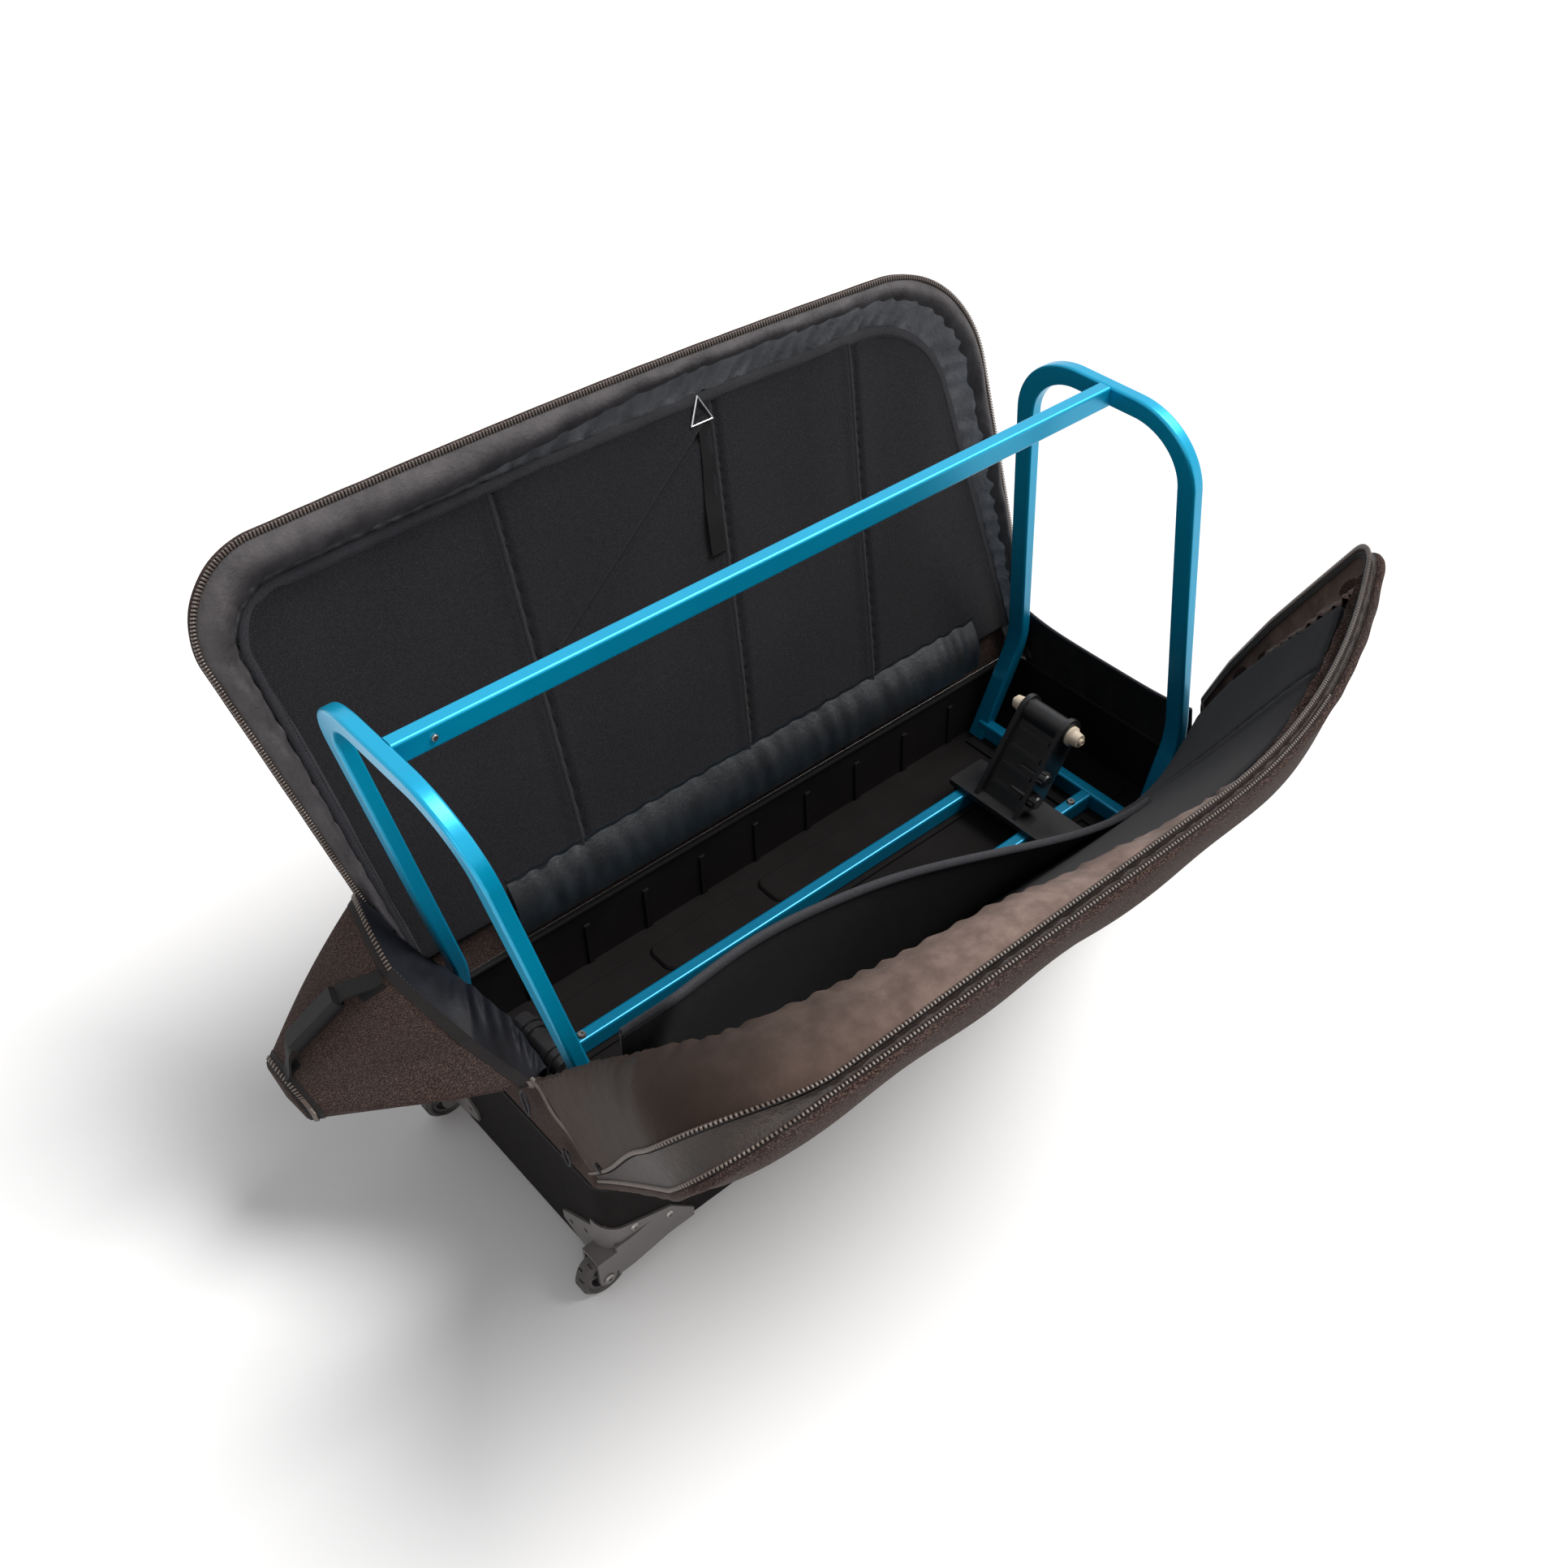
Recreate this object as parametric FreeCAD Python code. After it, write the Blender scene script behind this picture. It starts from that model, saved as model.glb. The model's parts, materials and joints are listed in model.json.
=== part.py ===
import FreeCAD
import Part
import os
from math import atan2, cos, pi, radians, sin, sqrt, tan

# Soft travel case for one bicycle, standing open on its wheels.
# Millimetres. X runs along the case with the nose end at -X, +Y is the back side, +Z is up.
# The origin is the middle of the belly pan's flat underside.

V = FreeCAD.Vector

# Shared clearances
overrun = 5.0
soft_gap = 0.3
running_gap = 0.05
slide_gap = 0.4

# Base tub
tub_half_length = 572.0
tub_half_width = 190.0
tub_flare_length = 3.0
tub_flare_width = 8.0
tub_height = 185.0
tub_wall = 4.0
tub_corner = 24.0
floor_level = 82.0
floor_thickness = 4.0
pad_height = 4.0
pad_half_width = 18.0
boss_length = 190.0
boss_width = 58.0
boss_height = 5.0
boss_corner = 16.0
boss_offset_y = 124.0
boss_x_shares = (-0.62, -0.26, 0.10)
wall_rib_width = 9.0
wall_rib_depth = 3.0
wall_rib_drop = 26.0
wall_rib_count = 11
belly_thickness = 3.0
belly_inset = 9.0
belly_groove_half_length = 430.0
belly_groove_half_width = 138.0
belly_groove_width = 4.0
belly_groove_depth = 1.2
rim_thickness = 5.0
rim_inner_lip = 7.0
rim_outer_lip = 3.0

# Wheels, brackets and feet
ground_drop = 24.0
wheel_radius = 35.0
wheel_width = 24.0
wheel_overhang = 8.0
wheel_tuck = 8.0
wheel_center_x = tub_half_length + wheel_overhang
wheel_center_y = tub_half_width - wheel_tuck
tyre_depth = 10.0
tyre_crown = 5.0
tread_count = 18
tread_width = 3.0
tread_depth = 2.0
hub_core_radius = 11.0
hub_rim_thickness = 4.0
spoke_count = 5
spoke_width = 7.0
spoke_thickness = 10.0
axle_radius = 4.0
axle_head_radius = 7.5
axle_head_height = 4.0
well_gap = 6.0
bracket_plate = 3.5
bracket_tail_inset = 134.0
bracket_peak_inset = 97.0
bracket_tail_x = tub_half_length - bracket_tail_inset
bracket_peak_x = tub_half_length - bracket_peak_inset
bracket_peak_z = 62.0
bracket_corner_z = 103.0
bracket_low_z = 2.0
cheek_thickness = 4.0
cheek_gap = 1.0
cheek_tail_inset = 32.0
cheek_tail_x = tub_half_length - cheek_tail_inset
cheek_low_radius = 13.0
ear_outline = ((99.0, 28.0), (99.0, 44.0), (113.0, 54.0), (186.0, 101.0), (186.0, 12.0), (138.0, 12.0))
bracket_bolt_radius = 4.0
bracket_bolt_head = 6.5
bracket_bolt_height = 2.5
bracket_bolt_length = 9.0
bracket_bolt_insets = ((94.0, 46.0), (39.0, 76.0))
bracket_bolt_places = [(tub_half_length - inset, z) for inset, z in bracket_bolt_insets]
ear_hole_radius = 4.0
ear_hole_places = ((117.0, 38.0), (151.0, 58.0))
skid_width = 26.0
skid_height = 18.0
skid_slope = 26.0
skid_center_y = 168.0
skid_round = 6.0
skid_spans = ((-133.0, -28.0), (86.0, 250.0))
foot_tuck = 64.0
foot_overhang = 33.0
foot_start = tub_half_length - foot_tuck
foot_end = tub_half_length + foot_overhang
foot_top = 40.0
foot_toe = 10.0
foot_width = 40.0
foot_proud = 2.0
foot_outer_y = tub_half_width + foot_proud
foot_steps = 3
foot_round = 7.0

# Tube frame
tube_width = 20.0
tube_depth = 30.0
tube_wall = 2.0
tube_round = 4.0
hoop_inset = 38.0
nose_hoop_reach = 106.0
tail_hoop_reach = 74.0
tail_hoop_tuck = 63.4
nose_knee_rise = 82.0
tail_knee_rise = 76.0
hoop_rise = 607.0
hoop_foot_inset = 22.0
hoop_taper = 30.0
nose_foot_x = hoop_inset - tub_half_length
nose_knee_x = nose_foot_x
nose_top_x = nose_knee_x - nose_hoop_reach
nose_knee_z = tub_height + nose_knee_rise
tail_knee_x = tub_half_length - hoop_inset
tail_foot_x = tail_knee_x - tail_hoop_tuck
tail_top_x = tail_knee_x - tail_hoop_reach
tail_knee_z = tub_height + tail_knee_rise
knee_radius = 130.0
hoop_top_z = tub_height + hoop_rise
hoop_half_foot = tub_half_width - hoop_foot_inset
hoop_half_top = hoop_half_foot - hoop_taper
hoop_corner = 92.0
rail_offset_y = 65.0
spigot_length = 90.0
spigot_gap = 0.3
lock_button_radius = 4.0
lock_button_proud = 3.0
lock_button_from_end = 34.0
lock_button_depth = 12.0
frame_bolt_head = 7.0
frame_bolt_height = 3.5
frame_bolt_insets = (114.0, 40.6)
frame_bolt_x_places = (nose_foot_x + frame_bolt_insets[0], tail_foot_x - frame_bolt_insets[1])

# Rear axle stand
stand_from_hoop = 79.6
stand_length = 73.0
stand_x1 = tail_foot_x - stand_from_hoop
stand_x0 = stand_x1 - stand_length
stand_front_y = -140.0
stand_back_y = 92.0
stand_plate = 10.0
stand_skirt_depth = 22.0
stand_skirt_wall = 7.0
rear_axle_reach = 38.0
rear_axle_x = stand_x1 + rear_axle_reach
rear_axle_z = 242.0
axle_tube_radius = 20.0
axle_tube_half = 46.0
tower_half_width = 44.0
tower_cheek = 8.0
tower_head_radius = 25.0
tower_web = 6.0
tower_web_inset = 12.0
web_rib_count = 4
web_rib_height = 9.0
web_rib_bevel = 1.5
web_rib_first_share = 0.9
web_rib_spare_share = 0.6
web_rib_width_share = 0.8
web_rib_proud = 4.0
cone_base_radius = 16.0
cone_tip_radius = 10.5
cone_collar = 7.0
rear_half_spacing = 65.0
dropout_spigot_radius = 4.9
dropout_spigot_length = 4.5
skewer_bore_radius = 2.8
knob_radius = 13.0
knob_thickness = 13.0
knob_lobes = 8
knob_lobe_radius = 3.0
knob_stud_radius = 4.0
knob_grip_share = 0.75
knob_flute_share = 0.4
knob_cap_share = 0.85
knob_insets = ((56.0, 187.0), (40.0, 151.0))
knob_places = [(stand_x0 + inset, z) for inset, z in knob_insets]

# Fork stand
fork_axle_from_hoop = 20.0
fork_axle_x = nose_foot_x + fork_axle_from_hoop
fork_axle_z = 233.0
fork_half_spacing = 50.0
fork_tube_radius = 17.0
fork_ring_radius = 20.5
fork_ring_width = 9.0
fork_ring_offset = 33.0
fork_base_from_hoop = 16.0
fork_base_length = 78.0
fork_base_x0 = nose_foot_x + fork_base_from_hoop
fork_base_x1 = fork_base_x0 + fork_base_length
fork_base_half_width = 92.0
fork_cheek = 9.0
fork_cheek_half_gap = 16.0
fork_head_radius = 21.0

# Soft side panels
hinge_outset = 2.0
hinge_y = tub_half_width + tub_flare_width + hinge_outset
hinge_z = tub_height + rim_thickness
panel_start = 0.4
panel_foot_round = 5.0
panel_height = 680.0
panel_foot_overhang = 1.0
panel_nose_reach = 139.0
panel_tail_draw = 75.0
panel_foot_half = tub_half_length + panel_foot_overhang
panel_top_nose = -panel_foot_half - panel_nose_reach
panel_top_tail = panel_foot_half - panel_tail_draw
panel_corner_nose = 100.0
panel_corner_tail = 110.0
panel_shell = 8.0
back_border_depth = 42.0
front_border_depth = 26.0
border_wall = 5.0
border_foot = 14.0
border_head = 58.0
zip_height = 4.0
zip_width = 9.0
zip_outset = 1.5
pad_thickness = 10.0
pad_inset = 8.0
pad_foot_inset = 64.0
pad_foot_corner = 12.0
back_lean_deg = 15.0
front_lean_deg = 33.0
fold_foot_outset = 27.0
fold_run = 540.0
fold_foot_x = panel_foot_half + fold_foot_outset
fold_top_x = fold_foot_x - fold_run
fold_deg = 19.0
seam_tolerance = 0.001
shelf_root_high = 9.0
shelf_root_low = 25.0
shelf_root_sink = 1.2
shelf_thickness = 5.0
shelf_runs = ((112.0, 48.0, 62.0), (249.0, 71.0, 102.0), (472.0, 131.0, 78.0), (603.0, 164.0, 50.0),
              (752.0, 150.0, 32.0))
shelf_stations = [(panel_top_nose + run, inset, depth) for run, inset, depth in shelf_runs]
pocket_thickness = 6.0
pocket_height = 92.0
pocket_nose_inset = 153.0
pocket_tail_inset = 103.0
pocket_nose_x = pocket_nose_inset - panel_foot_half
pocket_tail_x = panel_foot_half - pocket_tail_inset
pocket_start = 20.0
wheel_pocket_inset = 48.0
wheel_pocket_length = 740.0
wheel_pocket_nose_x = wheel_pocket_inset - panel_foot_half
wheel_pocket_tail_x = wheel_pocket_nose_x + wheel_pocket_length
wheel_pocket_nose_height = 452.0
wheel_pocket_tail_height = 205.0
wheel_pocket_corner = 45.0
wheel_pocket_tilt_deg = 10.0
wheel_pocket_thickness = 7.0
strap_x = 36.0
strap_width = 25.0
strap_thickness = 2.0
strap_drop = 86.0
strap_top = panel_height - strap_drop
strap_length = 190.0
hook_wire = 2.6
hook_half_width = 18.0
hook_height = 36.0
hook_gap = 0.4

# Zip sliders
slider_length = 22.0
slider_roof = 4.0
slider_lip = 2.5
slider_wall = 2.5
slider_start = 150.0
pull_length = 34.0
pull_width = 8.0
pull_thickness = 3.0
pull_pin_radius = 1.5
pull_ear = 2.5
pull_pin_share = 1.1
pull_barrel_share = 0.45
pull_tab_share = 0.4
pull_hole_share = 0.3

# Ends of the case
nose_lean_deg = -9.0
tail_lean_deg = -7.7
skirt_outset = 2.0
skirt_base_x = -tub_half_length - skirt_outset
skirt_thickness = 3.0
skirt_outline = ((-100.0, 0.0), (60.0, 0.0), (60.0, 14.0), (-55.0, 100.0), (-100.0, 100.0))
lining_inset = 1.4
lining_base_x = lining_inset - tub_half_length
lining_thickness = 3.0
lining_outline = ((-55.0, 0.0), (110.0, 0.0), (110.0, 184.0), (-50.0, 96.0))
tail_wall_inset = 5.0
tail_wall_x = tub_half_length - tail_wall_inset
tail_wall_thickness = 4.0
tail_wall_outline = ((-150.0, 0.0), (150.0, 0.0), (150.0, 106.0), (110.0, 100.0), (-110.0, 96.0),
                     (-150.0, 104.0))

# Nose end flap, a hollow beak that has fallen open over the nose end
flap_root_outset = 16.0
flap_root_x = -tub_half_length - flap_root_outset
flap_root_outline = ((-100.0, 2.0), (-100.0, 62.0), (-58.0, 102.0), (110.0, 198.0), (204.0, 228.0),
                     (204.0, 2.0))
flap_length = 196.0
flap_tip_x = flap_root_x - flap_length
flap_tip_outline = ((118.0, 14.0), (118.0, 26.0), (132.0, 34.0), (165.0, 40.0), (212.0, 32.0), (212.0, 14.0))
flap_ridge_point = 3
flap_thickness = 5.0
flap_hem_outset = 3.5
flap_hem_depth = 16.5
flap_hem_back_inset = 4.0
flap_hem_inner_x = -tub_half_length - flap_hem_outset
flap_hem_outer_x = flap_hem_inner_x - flap_hem_depth
flap_hem_back_y = hinge_y - flap_hem_back_inset
handle_shares = (0.16, 0.93)
handle_lift = 27.0
handle_width = 26.0
handle_strap_thickness = 3.0
handle_clear = 8.0
handle_ramp_share = 0.17
grip_radius = 10.0


def save(name, shape):
    shape.exportStep("parts/" + name + ".step")
    print(name, len(shape.Solids), "solids", round(shape.Volume / 1000.0, 2), "cm3")


def box(x0, x1, y0, y1, z0, z1):
    return Part.makeBox(x1 - x0, y1 - y0, z1 - z0, V(x0, y0, z0))


def rod_y(x, z, radius, y0, y1):
    return Part.makeCylinder(radius, y1 - y0, V(x, y0, z), V(0, 1, 0))


def rod_z(x, y, radius, z0, z1):
    return Part.makeCylinder(radius, z1 - z0, V(x, y, z0), V(0, 0, 1))


def rod_between(start, end, radius):
    along = end - start
    return Part.makeCylinder(radius, along.Length, start, along)


def polygon(points):
    return Part.Face(Part.makePolygon(points + points[:1]))


def prism_xz(outline, y0, y1):
    face = polygon([V(x, y0, z) for x, z in outline])
    return face.extrude(V(0, y1 - y0, 0))


def group(shapes):
    return Part.makeCompound(shapes)


def mirror_x(shape):
    return shape.mirror(V(0, 0, 0), V(1, 0, 0))


def mirror_y(shape):
    return shape.mirror(V(0, 0, 0), V(0, 1, 0))


def rounded_loop(half_x, half_y, radius, z):
    # closed wire of a rectangle with round corners, at height z
    slack = radius * (1.0 - sqrt(0.5))
    edges = []
    corners = ((1, 1), (-1, 1), (-1, -1), (1, -1))
    for number, (sx, sy) in enumerate(corners):
        on_side = V(sx * half_x, sy * (half_y - radius), z)
        middle = V(sx * (half_x - slack), sy * (half_y - slack), z)
        on_end = V(sx * (half_x - radius), sy * half_y, z)
        first, last = (on_side, on_end) if number % 2 == 0 else (on_end, on_side)
        nx, ny = corners[(number + 1) % len(corners)]
        if number % 2 == 0:
            following = V(nx * (half_x - radius), ny * half_y, z)
        else:
            following = V(nx * half_x, ny * (half_y - radius), z)
        edges.append(Part.Arc(first, middle, last).toShape())
        edges.append(Part.LineSegment(last, following).toShape())
    return Part.Wire(edges)


def bend(before, corner, after, radius):
    # tangent points and centre of an arc that rounds one corner of a flat path
    into = (corner - before).normalize()
    out = (after - corner).normalize()
    turn = into.x * out.y - into.y * out.x
    angle = atan2(abs(turn), into.dot(out))
    reach = radius * tan(angle / 2.0)
    side = 1.0 if turn > 0 else -1.0
    start = corner - into * reach
    end = corner + out * reach
    center = start + V(-into.y, into.x, 0) * (side * radius)
    return start, end, center, side, into, out


def path_edges(points, radii, offset, place):
    # edges of a flat path with round corners, shifted sideways by offset, laid into space by place
    edges = []
    first = (points[1] - points[0]).normalize()
    last = (points[-1] - points[-2]).normalize()
    here = points[0] + V(-first.y, first.x, 0) * offset
    for before, corner, after, radius in zip(points, points[1:], points[2:], radii):
        start, end, center, side, into, out = bend(before, corner, after, radius)
        arc_start = start + V(-into.y, into.x, 0) * offset
        arc_end = end + V(-out.y, out.x, 0) * offset
        arc_middle = center + (corner - center).normalize() * (radius - side * offset)
        edges.append(Part.LineSegment(place(here), place(arc_start)).toShape())
        edges.append(Part.Arc(place(arc_start), place(arc_middle), place(arc_end)).toShape())
        here = arc_end
    finish = points[-1] + V(-last.y, last.x, 0) * offset
    edges.append(Part.LineSegment(place(here), place(finish)).toShape())
    return edges, place(finish)


def strip_face(points, radii, width, place):
    # flat strip of constant width along a path with round corners
    left, left_end = path_edges(points, radii, width / 2.0, place)
    right, right_end = path_edges(points, radii, -width / 2.0, place)
    closing = [
        Part.LineSegment(left_end, right_end).toShape(),
        Part.LineSegment(left[0].Vertexes[0].Point, right[0].Vertexes[0].Point).toShape(),
    ]
    return Part.Face(Part.Wire(Part.__sortEdges__(left + right + closing)))


def outline_face(points, radii, place):
    # closed outline whose corners have the given radii, starting in the middle of its first side
    start = (points[0] + points[1]) * 0.5
    loop = [start] + points[1:] + points[:1] + [start]
    rounding = radii[1:] + radii[:1]
    edges, _ = path_edges(loop, rounding, 0, place)
    return Part.Face(Part.Wire(Part.__sortEdges__(edges)))


# Base tub and what is fixed to it

def tub_loop(z, inset):
    share = z / tub_height
    half_x = tub_half_length + tub_flare_length * share - inset
    half_y = tub_half_width + tub_flare_width * share - inset
    return rounded_loop(half_x, half_y, tub_corner - inset, z)


def tub_block(z0, z1, inset):
    return Part.makeLoft([tub_loop(z0, inset), tub_loop(z1, inset)], True, True)


def inner_half_width(z):
    return tub_half_width + tub_flare_width * z / tub_height - tub_wall


def wheel_axis_z():
    return wheel_radius - ground_drop


def well_top():
    return wheel_axis_z() + wheel_radius + well_gap


def well_block(extra, low, high):
    inner_x = wheel_center_x - wheel_radius - well_gap - extra
    inner_y = wheel_center_y - wheel_width / 2.0 - cheek_gap - cheek_thickness - extra
    far_x = tub_half_length + tub_corner + overrun
    far_y = tub_half_width + tub_corner + overrun
    return box(inner_x, far_x, inner_y, far_y, low, high)


def tail_pair(shape):
    # back and front copies of a piece drawn at the tail's back corner
    return [shape, mirror_y(shape)]


def nose_pair(shape):
    # back and front copies at the nose of a piece drawn at the tail's back corner
    return tail_pair(mirror_x(shape))


def floor_bosses():
    bosses = []
    for share in boss_x_shares:
        for side in (-1, 1):
            loop = rounded_loop(boss_length / 2.0, boss_width / 2.0, boss_corner, floor_level)
            boss = Part.Face(loop).extrude(V(0, 0, boss_height))
            boss = boss.makeChamfer(boss_height * 0.6, [e for e in boss.Edges if top_edge(e, boss)])
            boss.translate(V(share * tub_half_length, side * boss_offset_y, 0))
            bosses.append(boss)
    return bosses


def top_edge(edge, shape):
    high = shape.BoundBox.ZMax
    return abs(edge.BoundBox.ZMin - high) < soft_gap and abs(edge.BoundBox.ZMax - high) < soft_gap


def rail_pads():
    length = tub_half_length - tub_corner
    pads = []
    for side in (-1, 1):
        y = side * rail_offset_y
        pads.append(box(-length, length, y - pad_half_width, y + pad_half_width,
                        floor_level, floor_level + pad_height))
    half = inner_half_width(floor_level) - tub_corner + tub_wall
    for x in (nose_foot_x, tail_foot_x):
        pads.append(box(x - tube_depth, x + tube_depth, -half, half, floor_level, floor_level + pad_height))
    return pads


def wall_ribs():
    ribs = []
    span = 2.0 * (tub_half_length - 2.0 * tub_corner)
    high = tub_height - wall_rib_drop
    for number in range(wall_rib_count):
        x = -span / 2.0 + span * number / (wall_rib_count - 1)
        low_y = inner_half_width(floor_level)
        high_y = inner_half_width(high)
        for side in (-1, 1):
            profile = [
                V(0, side * (low_y + tub_wall / 2.0), floor_level),
                V(0, side * (low_y - wall_rib_depth), floor_level),
                V(0, side * (high_y - wall_rib_depth), high - wall_rib_depth),
                V(0, side * (high_y + tub_wall / 2.0), high),
            ]
            rib = polygon(profile).extrude(V(wall_rib_width, 0, 0))
            rib.translate(V(x - wall_rib_width / 2.0, 0, 0))
            ribs.append(rib)
    return ribs


def base_tub():
    shell = tub_block(belly_thickness, tub_height, 0)
    shell = shell.cut(tub_block(floor_level, tub_height + overrun, tub_wall))
    cavity = tub_block(belly_thickness - overrun, floor_level - floor_thickness, tub_wall)
    for well in nose_pair(well_block(tub_wall, -overrun, well_top() + tub_wall)):
        cavity = cavity.cut(well)
    shell = shell.cut(cavity)
    for well in nose_pair(well_block(0, -overrun, well_top())):
        shell = shell.cut(well)
    shell = shell.fuse(floor_bosses() + rail_pads() + wall_ribs()).removeSplitter()
    for x, z in bracket_bolt_places:
        for hole in nose_pair(rod_y(x, z, bracket_bolt_radius, tub_half_width - tub_wall - overrun,
                                       tub_half_width + tub_flare_width)):
            shell = shell.cut(hole)
    return shell


def belly_pan():
    loop = rounded_loop(tub_half_length - belly_inset, tub_half_width - belly_inset, tub_corner, 0)
    lower = Part.Face(loop).extrude(V(0, 0, belly_thickness))
    for well in nose_pair(well_block(0, -overrun, belly_thickness + overrun)):
        lower = lower.cut(well)
    return lower.cut(belly_groove())


def belly_groove():
    # shallow ring that frames the flat middle of the underside
    def block(grow, low, high):
        loop = rounded_loop(belly_groove_half_length + grow, belly_groove_half_width + grow, tub_corner, low)
        return Part.Face(loop).extrude(V(0, 0, high - low))
    outer = block(belly_groove_width, -overrun, belly_groove_depth)
    return outer.cut(block(0, -overrun * 2.0, belly_groove_depth + overrun))


def rim_binding():
    def ring_loop(grow, z):
        half_x = tub_half_length + tub_flare_length + grow
        half_y = tub_half_width + tub_flare_width + grow
        return Part.Face(rounded_loop(half_x, half_y, tub_corner + grow, z))
    outer = ring_loop(rim_outer_lip, tub_height).extrude(V(0, 0, rim_thickness))
    inner = ring_loop(-rim_inner_lip, tub_height - overrun).extrude(V(0, 0, rim_thickness + 2.0 * overrun))
    ring = outer.cut(inner)
    crowned = [e for e in ring.Edges if top_edge(e, ring)]
    return ring.makeFillet(rim_thickness * 0.4, crowned)


def wheel_bracket():
    # bracket of the +X +Y corner: a plate bent round the tub's corner and a fork over the wheel
    axis_z = wheel_axis_z()
    outer_y = wheel_center_y + wheel_width / 2.0 + cheek_gap
    inner_y = wheel_center_y - wheel_width / 2.0 - cheek_gap
    side_y = tub_half_width - tub_corner
    far_y = tub_half_width + tub_flare_width + tub_corner
    wrap = tub_block(bracket_low_z, bracket_corner_z, -bracket_plate)
    wrap = wrap.cut(tub_block(bracket_low_z - overrun, bracket_corner_z + overrun, 0))
    end_x = tub_half_length + tub_flare_length + bracket_plate
    side = [
        (bracket_tail_x, bracket_low_z), (bracket_tail_x, bracket_low_z + skid_height),
        (bracket_peak_x, bracket_peak_z), (end_x, bracket_corner_z), (end_x, bracket_low_z),
    ]
    side_plate = wrap.common(prism_xz(side, side_y, far_y))
    ear = [V(tub_half_length - tub_corner, y, z) for y, z in ear_outline]
    ear_plate = wrap.common(polygon(ear).extrude(V(tub_corner * 2.0, 0, 0)))
    web_x0 = wheel_center_x - wheel_radius - well_gap + soft_gap
    web_x1 = wheel_center_x + cheek_low_radius
    web = box(web_x0, web_x1, inner_y - cheek_thickness, outer_y + cheek_thickness,
              well_top() - cheek_thickness, well_top())
    cheeks = []
    for y0 in (inner_y - cheek_thickness, outer_y):
        y1 = y0 + cheek_thickness
        low = rod_y(wheel_center_x, axis_z, cheek_low_radius, y0, y1)
        cheek = prism_xz([
            (web_x0, well_top()), (web_x1, well_top()),
            (web_x1, axis_z), (wheel_center_x - cheek_low_radius, axis_z),
            (web_x0, axis_z + wheel_radius / 2.0),
        ], y0, y1)
        cheeks.append(cheek.fuse(low))
    shoulder_x = bracket_peak_x + bracket_plate
    wall_y = tub_half_width + tub_flare_width * bracket_low_z / tub_height + bracket_plate
    shoulder = polygon([
        V(shoulder_x, wall_y, bracket_low_z), V(cheek_tail_x, outer_y + cheek_thickness, bracket_low_z),
        V(cheek_tail_x + wheel_width, outer_y + cheek_thickness, bracket_low_z),
        V(cheek_tail_x + wheel_width, outer_y, bracket_low_z), V(cheek_tail_x, outer_y, bracket_low_z),
        V(cheek_tail_x, wall_y - bracket_plate, bracket_low_z),
        V(shoulder_x, wall_y - bracket_plate, bracket_low_z),
    ]).extrude(V(0, 0, bracket_peak_z - bracket_low_z))
    shoulder = shoulder.cut(tub_block(bracket_low_z - overrun, bracket_corner_z + overrun, 0))
    shape = side_plate.fuse([ear_plate, web, shoulder] + cheeks)
    hollow = rod_y(wheel_center_x, axis_z, wheel_radius + cheek_gap, inner_y, outer_y)
    shape = shape.cut(hollow)
    bore = axle_radius + running_gap
    shape = shape.cut(rod_y(wheel_center_x, axis_z, bore, inner_y - overrun * 2.0, far_y))
    for x, z in bracket_bolt_places:
        shape = shape.cut(rod_y(x, z, bracket_bolt_radius, side_y, far_y))
    for y, z in ear_hole_places:
        shape = shape.cut(Part.makeCylinder(ear_hole_radius, tub_corner * 2.0,
                                            V(tub_half_length - tub_corner, y, z), V(1, 0, 0)))
    return shape.removeSplitter()


def bracket_bolt(x, z):
    wall_y = tub_half_width + tub_flare_width * z / tub_height + bracket_plate + soft_gap
    lean = atan2(tub_flare_width, tub_height)
    seat = wall_y + bracket_bolt_head * tan(lean)
    shank = rod_y(x, z, bracket_bolt_radius - running_gap, seat - bracket_bolt_length, seat)
    high = bracket_bolt_height
    head = Part.makeCone(bracket_bolt_head, bracket_bolt_head * 0.7, high, V(x, seat, z), V(0, 1, 0))
    socket = rod_y(x, z, bracket_bolt_radius * 0.6, seat + high * 0.4, seat + high * 2.0)
    return shank.fuse(head).cut(socket)


def axle_bolt():
    axis_z = wheel_axis_z()
    outer_y = wheel_center_y + wheel_width / 2.0 + cheek_gap + cheek_thickness
    inner_y = wheel_center_y - wheel_width / 2.0 - cheek_gap - cheek_thickness
    shank = rod_y(wheel_center_x, axis_z, axle_radius, inner_y, outer_y)
    head = rod_y(wheel_center_x, axis_z, axle_head_radius, outer_y, outer_y + axle_head_height)
    rim = [e for e in head.Edges if abs(e.BoundBox.YMin - outer_y - axle_head_height) < soft_gap]
    head = head.makeChamfer(axle_head_height * 0.4, rim)
    socket = rod_y(wheel_center_x, axis_z, axle_radius * 0.6, outer_y + axle_head_height * 0.4,
                   outer_y + axle_head_height * 2.0)
    return shank.fuse(head.cut(socket))


def revolve_y(outline, x, z):
    # outline holds pairs of radius and y about the wheel's axis
    face = polygon([V(x + radius, y, z) for radius, y in outline])
    return face.revolve(V(x, 0, z), V(0, 1, 0), 360)


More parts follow.
